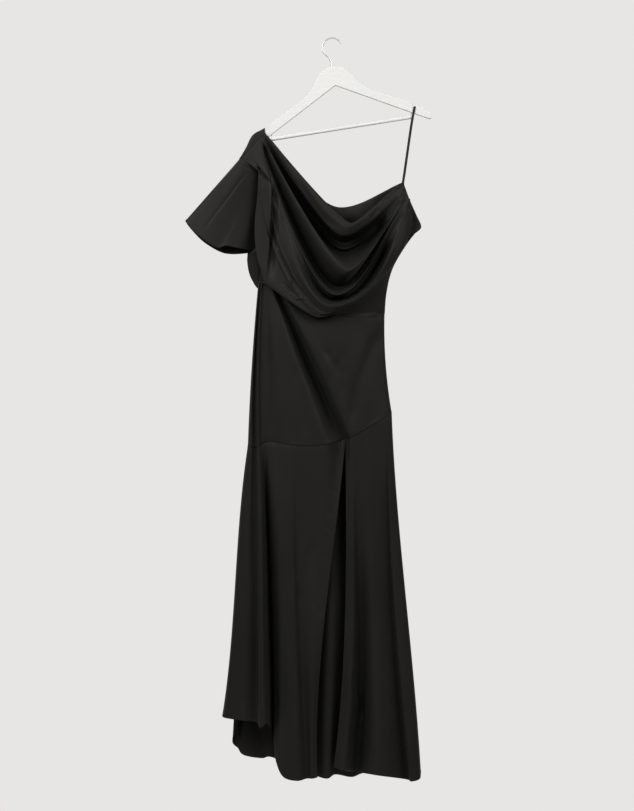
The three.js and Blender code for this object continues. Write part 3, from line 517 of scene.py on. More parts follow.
# The cowl: one row for each swag, from the neckline down. from is how far down the left edge it starts, fall the
# angle at which it leaves and hang how long it keeps to it; lowX and lowZ are its lowest point, round how wide it
# turns there on the left and sweep on the right; to is how far down the right edge it ends and rise the angle
# there. A swag that bends first runs down from its bend. left, low and right are its depths at the left, the lowest
# point and the right.
SWAGS = table("from fall hang lowX lowZ round sweep to rise left low right bendX bendZ", [
    ("neckline", 0, 50, 1, 45, -463, 0.25, 0.35, 0, 34, -31, -57, -38),
    ("neck roll", 2, 52, 1, 38, -475, 0.3, 0.4, 3, 42, -37, -62, -43),
    ("roll bottom", 4, 55, 1, 28, -496, 0.4, 0.5, 8, 58, -29, -50, -38),
    ("roll tuck", 6, 58, 1, 28, -488, 0.4, 0.5, 12, 60, -8, -22, -18),
    ("hollow", 7, 60, 1, 28, -508, 0.45, 0.55, 17, 62, 8, 11, 0),
    ("first ripple", 8, 60, 1, 27, -525, 0.45, 0.55, 22, 62, 10, 4, 3),
    ("ripple groove", 9, 60, 1, 27, -534, 0.45, 0.55, 27, 63, 10, 11, 4),
    ("second ripple", 10, 61, 1, 28, -543, 0.45, 0.55, 29, 62, 6, -2, 0),
    ("inner fall", 11, 62, 1, 34, -560, 0.4, 0.45, 32, 60, -16, -34, -18),
    ("middle lip", 12, 63, 1, 40, -577, 0.3, 0.4, 36, 58, -38, -62, -40),
    ("lip underside", 14, 66, 1, 30, -592, 0.35, 0.45, 37, 55, -32, -56, -24),
    ("middle groove", 17, 71, 1, 12, -622, 0.4, 0.5, 38, 52, 0, -8, 2),
    ("thin ridge", 19, 73, 1, 8, -641, 0.4, 0.7, 42, 52, -36, -50, -26),
    ("lower groove", 21, 74, 1, 4, -653, 0.42, 0.9, 46, 60, -38, -16, 12),
    ("lower swag", 24, 76, 1.1, -4, -667, 0.5, 1.05, 52, 68, -46, -62, -44),
    ("swag underside", 42, 66, 1.15, -8, -680, 0.5, 0.8, 130, 64, -40, -56, -36, -156, -364),
    ("side groove", 64, 56, 1.25, -9, -685, 0.5, 0.6, 230, 58, -38, -51, -28, -160.5, -366),
    ("drape", 84, 44, 1.3, -13, -687, 0.5, 0.6, 270, 45, -39, -51, -25, -165, -368),
    ("side fold crest", 104, 42, 1.35, -18, -688.5, 0.5, 0.6, 296, 25, -39, -52, -23, -169, -371),
    ("top of the side", 134, 66, 1.35, -22, -689.5, 0.5, 0.6, 314, 12, -38, -51, -22.5, -178, -390),
    ("upper side", 200, 80, 1.3, -27, -690.3, 0.5, 0.6, 326, 3, -38, -51, -21.5),
    ("middle side", 280, 72, 1.15, -31, -691, 0.5, 0.6, 334, 2, -38.5, -50, -21),
    ("lower side", 350, 60, 1.05, -35, -691.5, 0.5, 0.6, 340, 1, -41, -49, -20.8),
    ("blouse", 400, 48, 1, -38, -691.8, 0.5, 0.6, 344, 0, -44, -48, -20.5),
    ("blouse edge", 1000, 38, 0.9, -40, -691.5, 0.5, 0.6, 347, 0, -42, -45, -20.3),
])

# Edges of the bodice back
BACK_ARMHOLE = Path([
    ("sleeve head", -231, 9.4, -298),
    ("upper", -212, 13, -345),
    ("middle", -202, 16, -420),
    ("lower", -200, 14, -490),
    ("under the arm", -186, 4, -528.6),
])
SIDE_DRAPE = Path([
    ("under the arm", -211, 15, -527),
    ("bulge", -215, 19, -548),
    ("lower bulge", -213, 19, -572),
    ("turning in", -206, 16, -597),
    ("waist", -188, 9, -624),
])
BACK_SIDE_SEAM = Path([
    ("under the arm", -184, 3.8, -528),
    ("lower side", -181, 4.2, -570),
    ("waist", -187, 4.4, -610.5),
])
BACK_RIGHT_EDGE = Path([
    ("loop corner", 175.5, 5, -358),
    ("armhole upper", 192, 10, -402),
    ("armhole lower", 214, 11, -453),
    ("armhole point", 220.5, 9, -474),
    ("turning under", 203, 6, -489),
    ("side seam upper", 162, 4, -549),
    ("side seam middle", 145, 4.4, -585),
    ("side seam lower", 133, 4.4, -640),
    ("waist", 129, 4.4, -690.6),
])

# Lines across the bodice back. from is how far down its left side it starts, as a part of the shoulder seam, the
# armhole or the side seam, and to how far down the right edge it ends. turned is how far over the shoulder, from
# the front to the back, the line's own edge lies.
BACK_LINES = table("side from lowX lowZ to left low right turned", [
    ("neckline", "shoulder", 0, 20, -420, 0, 16, 24, 14, 0),
    ("upper", "shoulder", 0.35, 5, -452, 0.12, 18, 21, 14, 0),
    ("shoulder", "shoulder", 0.7, -10, -480, 0.24, 19, 26, 13, 0),
    ("head front", "shoulder", 1, -20, -505, 0.33, 20, 22, 12, 0),
    ("head top", "shoulder", 1, -24, -525, 0.4, 21, 24, 12, 0.5),
    ("head back", "shoulder", 1, -25, -545, 0.46, 22, 25, 13, 1),
    ("upper armhole", "armhole", 0.22, -25, -562, 0.51, 22, 22, 13),
    ("armhole", "armhole", 0.47, -25, -576, 0.56, 22, 22, 13),
    ("lower armhole", "armhole", 0.74, -25, -590, 0.6, 22, 24, 14),
    ("end of the armhole", "armhole", 0.93, -25, -603, 0.64, 22, 25, 15),
    ("under the arm", "seam", 0, -25, -616, 0.69, 22, 26, 16),
    ("drape groove", "seam", 0.2, -25, -628, 0.75, 12, 20, 17),
    ("side drape", "seam", 0.35, -25, -638, 0.79, 27, 24, 18),
    ("lower drape groove", "seam", 0.55, -25, -650, 0.85, 14, 22, 18),
    ("blouse", "seam", 0.75, -25, -664, 0.9, 28, 29, 20),
    ("blouse edge", "seam", 1, -25, -684, 0.97, 24, 27, 17),
])

# Lines of the sleeve, down its front, round under the arm and up its back. on is how far down the armhole a line
# starts, and x, y and z its end at the hem.
SLEEVE_LINES = table("side on x y z", [
    ("front top", "front", 0.005, -364, -6, -463),
    ("front upper", "front", 0.03, -348, -11, -481),
    ("pressed crease", "front", 0.07, -327, -15, -499),
    ("front lower", "front", 0.11, -306, -16.5, -514),
    ("front bend", "front", 0.17, -286, -16, -523),
    ("front hem ridge", "front", 0.27, -267, -17.5, -518),
    ("hem hollow", "front", 0.42, -240, -15, -523),
    ("front under", "front", 0.6, -216, -2, -527),
    ("under the arm", "front", 0.72, -197, 9, -531),
    ("back under", "back", 0.94, -201, 13, -533),
    ("back lower", "back", 0.75, -222, 15, -536),
    ("back middle", "back", 0.55, -255, 14, -537.5),
    ("back bend", "back", 0.35, -284, 18, -531),
    ("back upper", "back", 0.16, -325, 14, -506),
    ("back top", "back", 0.03, -357, 8, -473),
    ("top fold", "top", 0, -369, 1, -455.5),
])

RETURN_AT = 0.07  # up to here a swag's left end turns back to its seam
BEND_AT = 0.18
LOW_AT = 0.6
BACK_TURN = 0.2  # up to here a line of the back turns over the shoulder or round the side
OVER_WOOD = 0.36  # how squarely the cloth turns over the hanger's end
# Depth of the bodice front beside its right edge, down the edge's length
SIDE_PANEL = [(0, -25), (130, -24), (230, -20), (320, -17.5), (347, -16.5)]
TUCK_RISE = 5
TUCK_FORWARD = 0.3
UNDER_REACH, UNDER_IN, UNDER_UP = 7.0, 1.3, 2.5  # how a top edge is drawn up behind the piece above it
ARMHOLE_TOP = np.array([-233.5, 0, -300])
OFF_SHOULDER = np.array([0.72, 0, -0.69])
LEVEL = np.array([1.0, 0, 0])

# Creases pressed into the cloth: name, depth, half width, lip, and the (x, z) places that it passes
BODICE_CREASES = [
    ("neck fold", 5, 9, 0.2, [(-92, -346), (-70, -384), (-44, -424), (-12, -460), (22, -477)]),
    ("crinkle by the blouse", 2.5, 4, 0.5, [(-125, -608), (-108, -628), (-90, -646)]),
    ("second crinkle", 2.5, 4, 0.5, [(-108, -602), (-94, -628), (-82, -654)]),
    ("bright crinkle", -2, 3, 0.4, [(-95, -652), (-82, -650), (-66, -650)]),
    ("right pucker", 1.2, 3, 0, [(168, -396), (178, -394), (190, -397)]),
    ("right crease", 1.5, 4, 0, [(176, -428), (188, -422), (202, -422)]),
    ("small facet", 2.5, 6, 0.2, [(90, -456), (102, -442), (114, -424)]),
]
# Edges of folds that lie over the cloth beside them: name, depth, width, and the (x, z) places they pass
BODICE_LAPS = [
    ("shoulder fold", 7, 16, [(-178, -264), (-174, -283), (-170, -303), (-162, -328), (-152, -361)]),
    ("sleeve pleat", 5, -11, [(-187, -317), (-177, -330), (-166, -344), (-152, -363)]),
    ("side fold", 12, 24, [(-153, -356), (-154, -390), (-156, -440), (-158, -490), (-161, -540), (-168, -620)]),
    ("outer swag", 7, -20, [
        (-149, -450), (-144, -490), (-128, -533), (-112, -568), (-94, -603), (-75, -630), (-54, -662),
    ]),
]
BACK_CREASES = [
    ("from the left armhole", 4, 14, 0.4, [(-190, -500), (-140, -545), (-80, -575), (-10, -590)]),
    ("fold over the waist", 5, 13, 0.5, [(-182, -585), (-130, -618), (-60, -640), (20, -650)]),
    ("from the right corner", 3, 12, 0.4, [(170, -430), (120, -480), (60, -520), (0, -540)]),
    ("by the right side", 3, 10, 0.4, [(150, -560), (110, -600), (70, -630)]),
]
LEFT_FLOUNCE_CREASES = [
    ("pucker high on the slit", 0.8, 4, 0.3, [(-12, -1122), (2, -1128), (16, -1138)]),
    ("next pucker", 0.8, 4, 0.3, [(-20, -1174), (-8, -1182), (6, -1192)]),
    ("pucker", 1.0, 5, 0.4, [(-26, -1212), (-12, -1222), (2, -1234)]),
    ("low pucker", 0.8, 4, 0.3, [(-32, -1284), (-20, -1294), (-8, -1306)]),
    ("hollow by the slit", 2.5, 13, 0.2, [(-20, -1322), (-28, -1360), (-26, -1400), (-30, -1450)]),
    ("lowest pucker", 0.8, 4, 0.3, [(-52, -1450), (-42, -1464), (-30, -1480)]),
    ("slanting fold", 2.5, 9, 0.3, [(-48, -1240), (-62, -1310), (-78, -1370), (-88, -1420)]),
]
RIGHT_FLOUNCE_CREASES = [
    ("pucker high on the slit", 0.8, 4, 0.3, [(34, -1062), (42, -1054), (50, -1042)]),
    ("pucker", 0.9, 4, 0.3, [(34, -1216), (42, -1208), (50, -1194)]),
    ("low pucker", 0.9, 4, 0.3, [(34, -1262), (42, -1254), (50, -1240)]),
    ("slanting crease", 4, 8, 0.5, [(50, -1566), (58, -1610), (70, -1660), (84, -1712)]),
    ("lower slanting crease", 2, 9, 0.3, [(40, -1700), (52, -1752), (66, -1796)]),
]
SLEEVE_CREASES = [
    ("pressed line", 1.3, 3, 0, [(-207, -322), (-268, -404), (-331, -487)]),
    ("pucker by the armhole", 1, 4, 0, [(-226, -318), (-210, -322), (-196, -326)]),
]
SKIRT_CREASES = [
    ("right diagonal", 6, 16, 0.15, [(128, -706), (98, -778), (72, -842), (58, -895), (46, -985)]),
    ("short left", 3, 11, 0.2, [(-95, -805), (-82, -870), (-70, -930), (-64, -1000)]),
    ("cross wrinkle", 1.6, 10, 0.3, [(-22, -770), (4, -810), (26, -850)]),
    ("other cross wrinkle", 1.4, 9, 0.3, [(30, -780), (2, -830), (-18, -880)]),
    ("fine line by the side", 2.0, 4, 0.3, [(-160, -700), (-160, -800), (-158, -900), (-160, -1000)]),
]


def direction(degrees):
    """The way a swag runs at so many degrees down from level."""
    angle = math.radians(degrees)
    return np.array([math.cos(angle), 0, -math.sin(angle)])


def turn_round(seam, fold, t):
    """The quarter turn from a seam behind, where t is 0, round to a fold in front of it."""
    turn = (1 - t) * math.pi / 2
    x = lerp(fold[0], seam[0], 1 - np.cos(turn))
    y = lerp(fold[1], seam[1], np.sin(turn))
    return np.stack([x, y, lerp(fold[2], seam[2], 1 - t)], axis=-1)


def swag_line(swag, u):
    """The points of one swag of the cowl at each u."""
    down = min((swag["from"] - SHOULDER_SEAM.length) / ARMHOLE_FOLD.length, 1)
    points = np.zeros((len(u), 3))
    turning = u < RETURN_AT
    turned = u[turning] / RETURN_AT
    if down <= 0:
        seam = SHOULDER_SEAM.at(swag["from"] / SHOULDER_SEAM.length)
        points[turning] = seam + OFF_SHOULDER * 2 * turned[:, None]
        start = seam + OFF_SHOULDER * 2
    else:
        start = ARMHOLE_FOLD.at(down)
        points[turning] = turn_round(LEFT_SEAM.at(down), start, turned)
    end = RIGHT_EDGE.at(swag["to"] / RIGHT_EDGE.length)
    low = np.array([swag["lowX"], 0, swag["lowZ"]])
    at = (u - RETURN_AT) / (1 - RETURN_AT)
    falling = ~turning & (at <= LOW_AT)
    rising = ~turning & (at > LOW_AT)
    reach = math.hypot(end[0] - low[0], end[2] - low[2])
    leave, arrive = LEVEL * swag["sweep"] * reach, direction(-swag["rise"]) * reach
    points[rising] = hermite(low, end, leave, arrive, (at[rising] - LOW_AT) / (1 - LOW_AT))
    fall = direction(swag["fall"])
    if "bendX" in swag:
        bend = np.array([swag["bendX"], 0, swag["bendZ"]])
        first = math.hypot(bend[0] - start[0], bend[2] - start[2])
        reach = math.hypot(low[0] - bend[0], low[2] - bend[2])
        down_to = direction(85)
        before = falling & (at < BEND_AT)
        after = falling & (at >= BEND_AT)
        points[before] = hermite(start, bend, fall * first, down_to * first, at[before] / BEND_AT)
        t = (at[after] - BEND_AT) / (LOW_AT - BEND_AT)
        points[after] = hermite(bend, low, down_to * reach * swag["hang"], LEVEL * swag["round"] * reach, t)
    else:
        reach = math.hypot(low[0] - start[0], low[2] - start[2])
        leave, arrive = fall * reach * swag["hang"], LEVEL * swag["round"] * reach
        points[falling] = hermite(start, low, leave, arrive, at[falling] / LOW_AT)
    depths = [(0, start[1]), (0.3, swag["left"]), (LOW_AT, swag["low"]), (0.8, swag["right"])]
    panel = profile(SIDE_PANEL, swag["to"])
    depths += [(0.88, lerp(panel, swag["right"], 0.2)), (0.95, lerp(panel, end[1], 0.3)), (1, end[1])]
    points[~turning, 1] = profile(depths, at[~turning])
    return points


def waist_line(folds, u):
    x = through(column(folds, "waistX"), u)
    y = profile(np.stack([column(folds, "waistX"), column(folds, "waistY")], axis=1), x)
    return np.stack([x, y, profile(WAIST_SEAM, x)], axis=-1)


def hip_line(folds, x):
    y = profile(np.stack([column(folds, "hipX"), column(folds, "hipY")], axis=1), x)
    return y, profile(BACK_HIP_SEAM if folds is BACK_FOLDS else HIP_SEAM, x)


def pressed(points, depth, out=1):
    """The points moved in by a depth, towards the middle of the dress."""
    moved = points.copy()
    moved[..., 1] += out * depth
    return moved


def seam_groove(points, edge):
    """The dip of the cloth towards the seam at one of its edges."""
    return SEAM_DEEP * np.exp(-((edge_distance(points, edge) / SEAM_WIDTH) ** 2))


def away_from(points, edges, width=10.0):
    """1 on the open cloth, falling to 0 at some of its edges, where it meets another piece."""
    clear = np.ones(points.shape[:2])
    for edge in edges:
        clear *= smoothstep(0, width, edge_distance(points, edge))
    return clear


def tucked_under(points, out=1):
    """The points with their top edge drawn up behind the piece that it is sewn under."""
    near_top = np.exp(-((edge_distance(points, "top") / UNDER_REACH) ** 2))
    moved = pressed(points, UNDER_IN * near_top * away_from(points, ["left", "right"], 8), out)
    moved[..., 2] += UNDER_UP * near_top
    return moved


def bodice_front_points(columns, rows):
    u, v = grid(columns, rows)
    lines = [swag_line(swag, u) for swag in SWAGS]
    waist = waist_line(FRONT_FOLDS, u)
    tuck = lerp(waist, lines[-1], TUCK_FORWARD)
    tuck[:, 2] = lerp(tuck[:, 2], waist[:, 2] + TUCK_RISE, np.clip(np.minimum(8 * u, 4 * (0.86 - u)), 0, 1))
    points = through(np.stack([*lines, tuck, waist]), v)
    on_front = (u > RETURN_AT)[None, :] * away_from(points, ["bottom"])
    x, z = points[..., 0], points[..., 2]
    pressed_in = crease_depth(x, z, BODICE_CREASES) + lap_depth(x, z, BODICE_LAPS)
    depth = on_front * (pressed_in + 0.5 * ripple(x, z, stretch=1.3))
    return pressed(points, depth + seam_groove(points, "left"))


def over_shoulder(start, turned):
    """The turn over the hanger's end, from the seam in front, where turned is 0, to the back."""
    seam = SHOULDER_SEAM.at(start)
    top = SHOULDER_FOLD.at(start)
    side = np.cos(math.pi * turned)
    y = seam[1] * np.sign(side) * np.abs(side) ** OVER_WOOD
    down = np.abs(side) ** 3
    lift = -2 * turned if start == 1 else 0
    return np.stack([lerp(top[0], seam[0], down), y, lerp(top[2], seam[2], down) + lift], axis=-1)


def back_edge(line, t):
    """The left end of a line of the back, at t from 0 at its edge to 1 where the flat back begins."""
    if line["side"] == "shoulder":
        return over_shoulder(line["from"], lerp(line["turned"], 1, t))
    if line["side"] == "armhole":
        return BACK_ARMHOLE.at(line["from"]) + t[:, None] * np.array([3, 2, 0])
    return turn_round(BACK_SIDE_SEAM.at(line["from"]), SIDE_DRAPE.at(line["from"]), t)


def back_line(line, u):
    points = np.zeros((len(u), 3))
    turning = u < BACK_TURN
    points[turning] = back_edge(line, u[turning] / BACK_TURN)
    start = back_edge(line, np.ones(1))[0]
    end = BACK_RIGHT_EDGE.at(line["to"])
    at = (u[~turning] - BACK_TURN) / (1 - BACK_TURN)
    x = profile([(0, start[0]), (0.55, line["lowX"]), (1, end[0])], at)
    z = profile([(0, start[2]), (0.55, line["lowZ"]), (1, end[2])], at)
    depths = [(0, start[1]), (0.15, line["left"]), (0.55, line["low"]), (0.85, line["right"]), (1, end[1])]
    points[~turning] = np.stack([x, profile(depths, at), z], axis=-1)
    return points


def bodice_back_points(columns, rows):
    u, v = grid(columns, rows)
    lines = [back_line(line, u) for line in BACK_LINES]
    points = through(np.stack([*lines, waist_line(BACK_FOLDS, u)]), v)
    flat = smoothstep(BACK_TURN, BACK_TURN + 0.15, u)[None, :] * away_from(points, ["bottom", "right"])
    x, z = points[..., 0], points[..., 2]
    depth = flat * (1.6 * ripple(x, z, stretch=1.2) + crease_depth(x, z, BACK_CREASES))
    return pressed(points, depth, out=-1)


def armhole_point(side, on):
    if side == "top":
        return ARMHOLE_TOP
    if side == "back":
        return BACK_ARMHOLE.at(on)
    return LEFT_SEAM.at(on)


def sleeve_top(t):
    """The sleeve's seam round the armhole."""
    n = len(SLEEVE_LINES)
    points = []
    for place in t * n:
        a, b = SLEEVE_LINES[int(place) % n], SLEEVE_LINES[(int(place) + 1) % n]
        f = place - int(place)
        if a["side"] == b["side"]:
            points.append(armhole_point(a["side"], lerp(a["on"], b["on"], f)))
        else:
            points.append(lerp(armhole_point(a["side"], a["on"]), armhole_point(b["side"], b["on"]), f))
    return np.array(points)


def sleeve_points(columns, rows):
    t = np.arange(columns) / columns
    hem = through_round(np.stack([column(SLEEVE_LINES, key) for key in "xyz"], axis=1), t)
    down = np.linspace(0, 1, rows + 1)[:, None, None]
    points = lerp(sleeve_top(t)[None], hem[None], down)
    on_front = (t < 0.5)[None, :] * smoothstep(0, 0.06, down[..., 0])
    x, z = points[..., 0], points[..., 2]
    return pressed(points, on_front * (crease_depth(x, z, SLEEVE_CREASES) + 0.4 * ripple(x, z)))


def bowed(top, middle, bottom, v):
    return top * (1 - v) * (1 - 2 * v) + 4 * middle * v * (1 - v) + bottom * v * (2 * v - 1)


def skirt_points(folds, creases, columns, rows, out=1):
    u, v = grid(columns, rows)
    v = v[:, None]
    waist = waist_line(folds, u)
    middle_x, hip_x = through(column(folds, "middleX"), u), through(column(folds, "hipX"), u)
    middle_y = through(column(folds, "middleY"), u)
    hip_y, hip_z = hip_line(folds, hip_x)
    x = bowed(waist[:, 0], middle_x, hip_x, v)
    y = bowed(waist[:, 1], middle_y, hip_y, v)
    z = lerp(waist[:, 2], hip_z, v)
    points = np.stack([x, y, z], axis=-1)
    open_cloth = away_from(points, ["left", "right", "bottom"], 12)
    depth = crease_depth(x, z, creases) * np.minimum(1, 12 * np.minimum(u, 1 - u))
    depth = open_cloth * (depth + 0.8 * ripple(x, z))
    return tucked_under(pressed(points, depth, out), out)


def along_fold(top, upper, lower, hem, v):
    """A cubic through four evenly spaced values, from a seam to a hem."""
    a = 1 - v
    from_top = top * a * (1 - 3 * v) * (1 - 1.5 * v) + upper * 9 * v * a * (1 - 1.5 * v)
    return from_top + lower * 4.5 * v * a * (3 * v - 1) + hem * v * (1 - 3 * a) * (1 - 1.5 * a)


def flounce_points(folds, seam_folds, creases, columns, rows, out=1, seams=("top", "left", "right")):
    u, v = grid(columns, rows)
    v = v[:, None]
    at = {key: through(column(folds, key), u) for key in folds[0] if key != "name"}
    top_y, top_z = hip_line(seam_folds, at["seamX"])
    x = along_fold(at["seamX"], at["upperX"], at["lowerX"], at["hemX"], v)
    y = along_fold(top_y, at["upperY"], lerp(at["upperY"], at["hemY"], 0.6), at["hemY"], v)
    points = np.stack([x, y, lerp(top_z, at["hemZ"], v)], axis=-1)
    z = points[..., 2]
    depth = away_from(points, seams, 14) * 1.1 * ripple(x, z) + crease_depth(x, z, creases)
    return tucked_under(pressed(points, depth, out), out)


def shade(colour, much):
    """A colour made darker or lighter."""
    return tuple(min(1, much * part) for part in colour)


def socket_values(node, values):
    for name, value in values.items():
        node.inputs[name].default_value = value
    return node


def add_node(tree, kind, inputs=None, **settings):
    node = tree.nodes.new(kind)
    for name, value in settings.items():
        setattr(node, name, value)
    for name, value in (inputs or {}).items():
        if isinstance(value, bpy.types.NodeSocket):
            tree.links.new(value, node.inputs[name])
        else:
            node.inputs[name].default_value = value
    return node


def new_finish(name, colour, roughness, **constants):
    """A material with a Principled shader, whose constant values are set on the shader's own sockets."""
    material = bpy.data.materials.new(name)
    material.use_nodes = True
    material.diffuse_color = (*colour, 1)
    shader = material.node_tree.nodes["Principled BSDF"]
    socket_values(shader, {"Base Color": (*colour, 1), "Roughness": roughness})
    socket_values(shader, {key.replace("_", " "): value for key, value in constants.items()})
    return material, material.node_tree, shader


def stretched_noise(tree, place, scale, stretch, detail=2.0):
    """A noise pattern, squeezed and stretched along the axes of its coordinates."""
    mapped = add_node(tree, "ShaderNodeMapping", {"Vector": place, "Scale": stretch})
    noise = add_node(tree, "ShaderNodeTexNoise", {"Vector": mapped.outputs[0], "Scale": scale, "Detail": detail})
    return noise.outputs["Fac"]


def between(tree, fac, low, high, dark, light):
    """A colour between two others, each a colour or another node's output, as fac goes from low to high."""
    part = add_node(tree, "ShaderNodeMapRange", {"Value": fac, "From Min": low, "From Max": high})
    mix = add_node(tree, "ShaderNodeMix", {0: part.outputs["Result"]}, data_type="RGBA")
    sockets = [socket for socket in mix.inputs if socket.type == "RGBA"]
    for socket, colour in zip(sockets, (dark, light)):
        if isinstance(colour, bpy.types.NodeSocket):
            tree.links.new(colour, socket)
        else:
            socket.default_value = (*colour, 1)
    return next(socket for socket in mix.outputs if socket.type == "RGBA")


def vary_colour(tree, shader, fac, dark, light):
    tree.links.new(between(tree, fac, 0.3, 0.7, dark, light), shader.inputs["Base Color"])


def vary_roughness(tree, shader, fac, low, high):
    inputs = {"Value": fac, "From Min": 0.3, "From Max": 0.7, "To Min": low, "To Max": high}
    spread = add_node(tree, "ShaderNodeMapRange", inputs)
    tree.links.new(spread.outputs["Result"], shader.inputs["Roughness"])


def bump(tree, height, strength, distance, before=None):
    inputs = {"Height": height, "Strength": strength, "Distance": distance}
    if before is not None:
        inputs["Normal"] = before
    return add_node(tree, "ShaderNodeBump", inputs).outputs["Normal"]


def satin_finish(cloth):
    """Heavy black satin: long floats along the warp, a soft sheen and small slack unevenness, with shade painted
    into its colour in the folds.
    """
    colour = tuple(cloth.colour)
    material, tree, shader = new_finish(
        "black_satin", colour, cloth.roughness, Specular_IOR_Level=0.1, Anisotropic=0.35, Sheen_Weight=0.06,
        Sheen_Roughness=0.45, Sheen_Tint=(0.9, 0.88, 0.85, 1),
    )
    place = add_node(tree, "ShaderNodeTexCoord")
    threads = cloth.thread_spacing
    floats = stretched_noise(tree, place.outputs["UV"], 1.0, (1 / threads, 0.09 / threads, 1))
    weft = stretched_noise(tree, place.outputs["UV"], 1.0, (0.11 / threads, 0.8 / threads, 1))
    slack = stretched_noise(tree, place.outputs["Object"], 26.0, (1, 1, 0.3), detail=1.5)
    cloud = stretched_noise(tree, place.outputs["Object"], 5.0, (1, 1, 0.6), detail=3.0)
    normal = bump(tree, slack, 0.35, 0.0022)
    normal = bump(tree, weft, 0.25, 0.00006, normal)
    normal = bump(tree, floats, 0.5, 0.00008, normal)
    tree.links.new(normal, shader.inputs["Normal"])
    tangent = add_node(tree, "ShaderNodeTangent", direction_type="UV_MAP", uv_map="cloth")
    tree.links.new(tangent.outputs["Tangent"], shader.inputs["Tangent"])
    # Painted shade: the base colour goes nearly black where ambient occlusion finds other cloth close by. It stands
    # in for the shade that falls in the folds and recesses, since black cloth throws hardly any light back into
    # them.
    dyed = between(tree, cloud, 0.3, 0.7, shade(colour, 0.88), shade(colour, 1.12))
    painted_fold_shade = add_node(tree, "ShaderNodeAmbientOcclusion", {"Distance": cloth.painted_fold_shade}, samples=12)
    colour_with_painted_fold_shade = between(tree, painted_fold_shade.outputs["AO"], 0.2, 0.92, shade(colour, 0.05), dyed)
    tree.links.new(colour_with_painted_fold_shade, shader.inputs["Base Color"])
    vary_roughness(tree, shader, cloud, cloth.roughness - 0.03, cloth.roughness + 0.04)
    return material


def ribbon_finish(cloth):
    """Narrow black satin ribbon with fine ribs across it."""
    colour = tuple(cloth.colour)
    material, tree, shader = new_finish("black_ribbon", colour, 0.4, Specular_IOR_Level=0.3)
    place = add_node(tree, "ShaderNodeTexCoord")
    ribs = stretched_noise(tree, place.outputs["UV"], 1.0, (2600, 150, 1))
    tree.links.new(bump(tree, ribs, 0.6, 0.0001), shader.inputs["Normal"])
    vary_colour(tree, shader, ribs, shade(colour, 0.8), shade(colour, 1.3))
    return material


def thread_finish(cloth):
    """Black polyester sewing thread, a little duller than the satin."""
    colour = shade(cloth.colour, 1.25)
    material, tree, shader = new_finish("black_thread", colour, 0.6, Specular_IOR_Level=0.3)
    place = add_node(tree, "ShaderNodeTexCoord")
    twist = stretched_noise(tree, place.outputs["Object"], 3500.0, (1, 1, 1))
    tree.links.new(bump(tree, twist, 0.5, 0.00006), shader.inputs["Normal"])
    vary_colour(tree, shader, twist, shade(colour, 0.7), colour)
    return material


def painted_wood_finish(hanger):
    """White satin paint over planed wood: the grain hardly shows, and the paint is a little uneven."""
    colour = tuple(hanger.paint_colour)
    material, tree, shader = new_finish("white_painted_wood", colour, 0.5, Coat_Weight=0.05, Coat_Roughness=0.4)
    place = add_node(tree, "ShaderNodeTexCoord")
    grain = stretched_noise(tree, place.outputs["Object"], 14.0, (1, 3, 9), detail=5.0)
    brush = stretched_noise(tree, place.outputs["Object"], 220.0, (0.25, 1, 1), detail=2.0)
    normal = bump(tree, grain, 0.1, 0.0003)
    tree.links.new(bump(tree, brush, 0.08, 0.0001, normal), shader.inputs["Normal"])
    vary_colour(tree, shader, grain, shade(colour, 0.965), shade(colour, 1.01))
    vary_roughness(tree, shader, brush, 0.46, 0.56)
    return material


def hook_finish(hanger):
    """Satin-polished steel wire, with fine marks drawn along it."""
    colour = tuple(hanger.hook_colour)
    material, tree, shader = new_finish("satin_steel", colour, 0.3, Metallic=0.5)
    place = add_node(tree, "ShaderNodeTexCoord")
    drawn = stretched_noise(tree, place.outputs["UV"], 1.0, (40, 9000, 1))
    tree.links.new(bump(tree, drawn, 0.25, 0.00004), shader.inputs["Normal"])
    vary_colour(tree, shader, drawn, shade(colour, 0.93), shade(colour, 1.04))
    vary_roughness(tree, shader, drawn, 0.26, 0.38)
    return material


def floor_finish(stage):
    colour = tuple(stage.backdrop_colour)
    material, tree, shader = new_finish("pale_floor", colour, 0.75)
    place = add_node(tree, "ShaderNodeTexCoord")
    mottle = stretched_noise(tree, place.outputs["Object"], 2.0, (1, 1, 1), detail=4.0)
    vary_colour(tree, shader, mottle, shade(colour, 0.985), colour)
    return material


def finish(name, make, settings):
    """A material that several pieces share, made the first time that one of them needs it."""
    return bpy.data.materials.get(name) or make(settings)


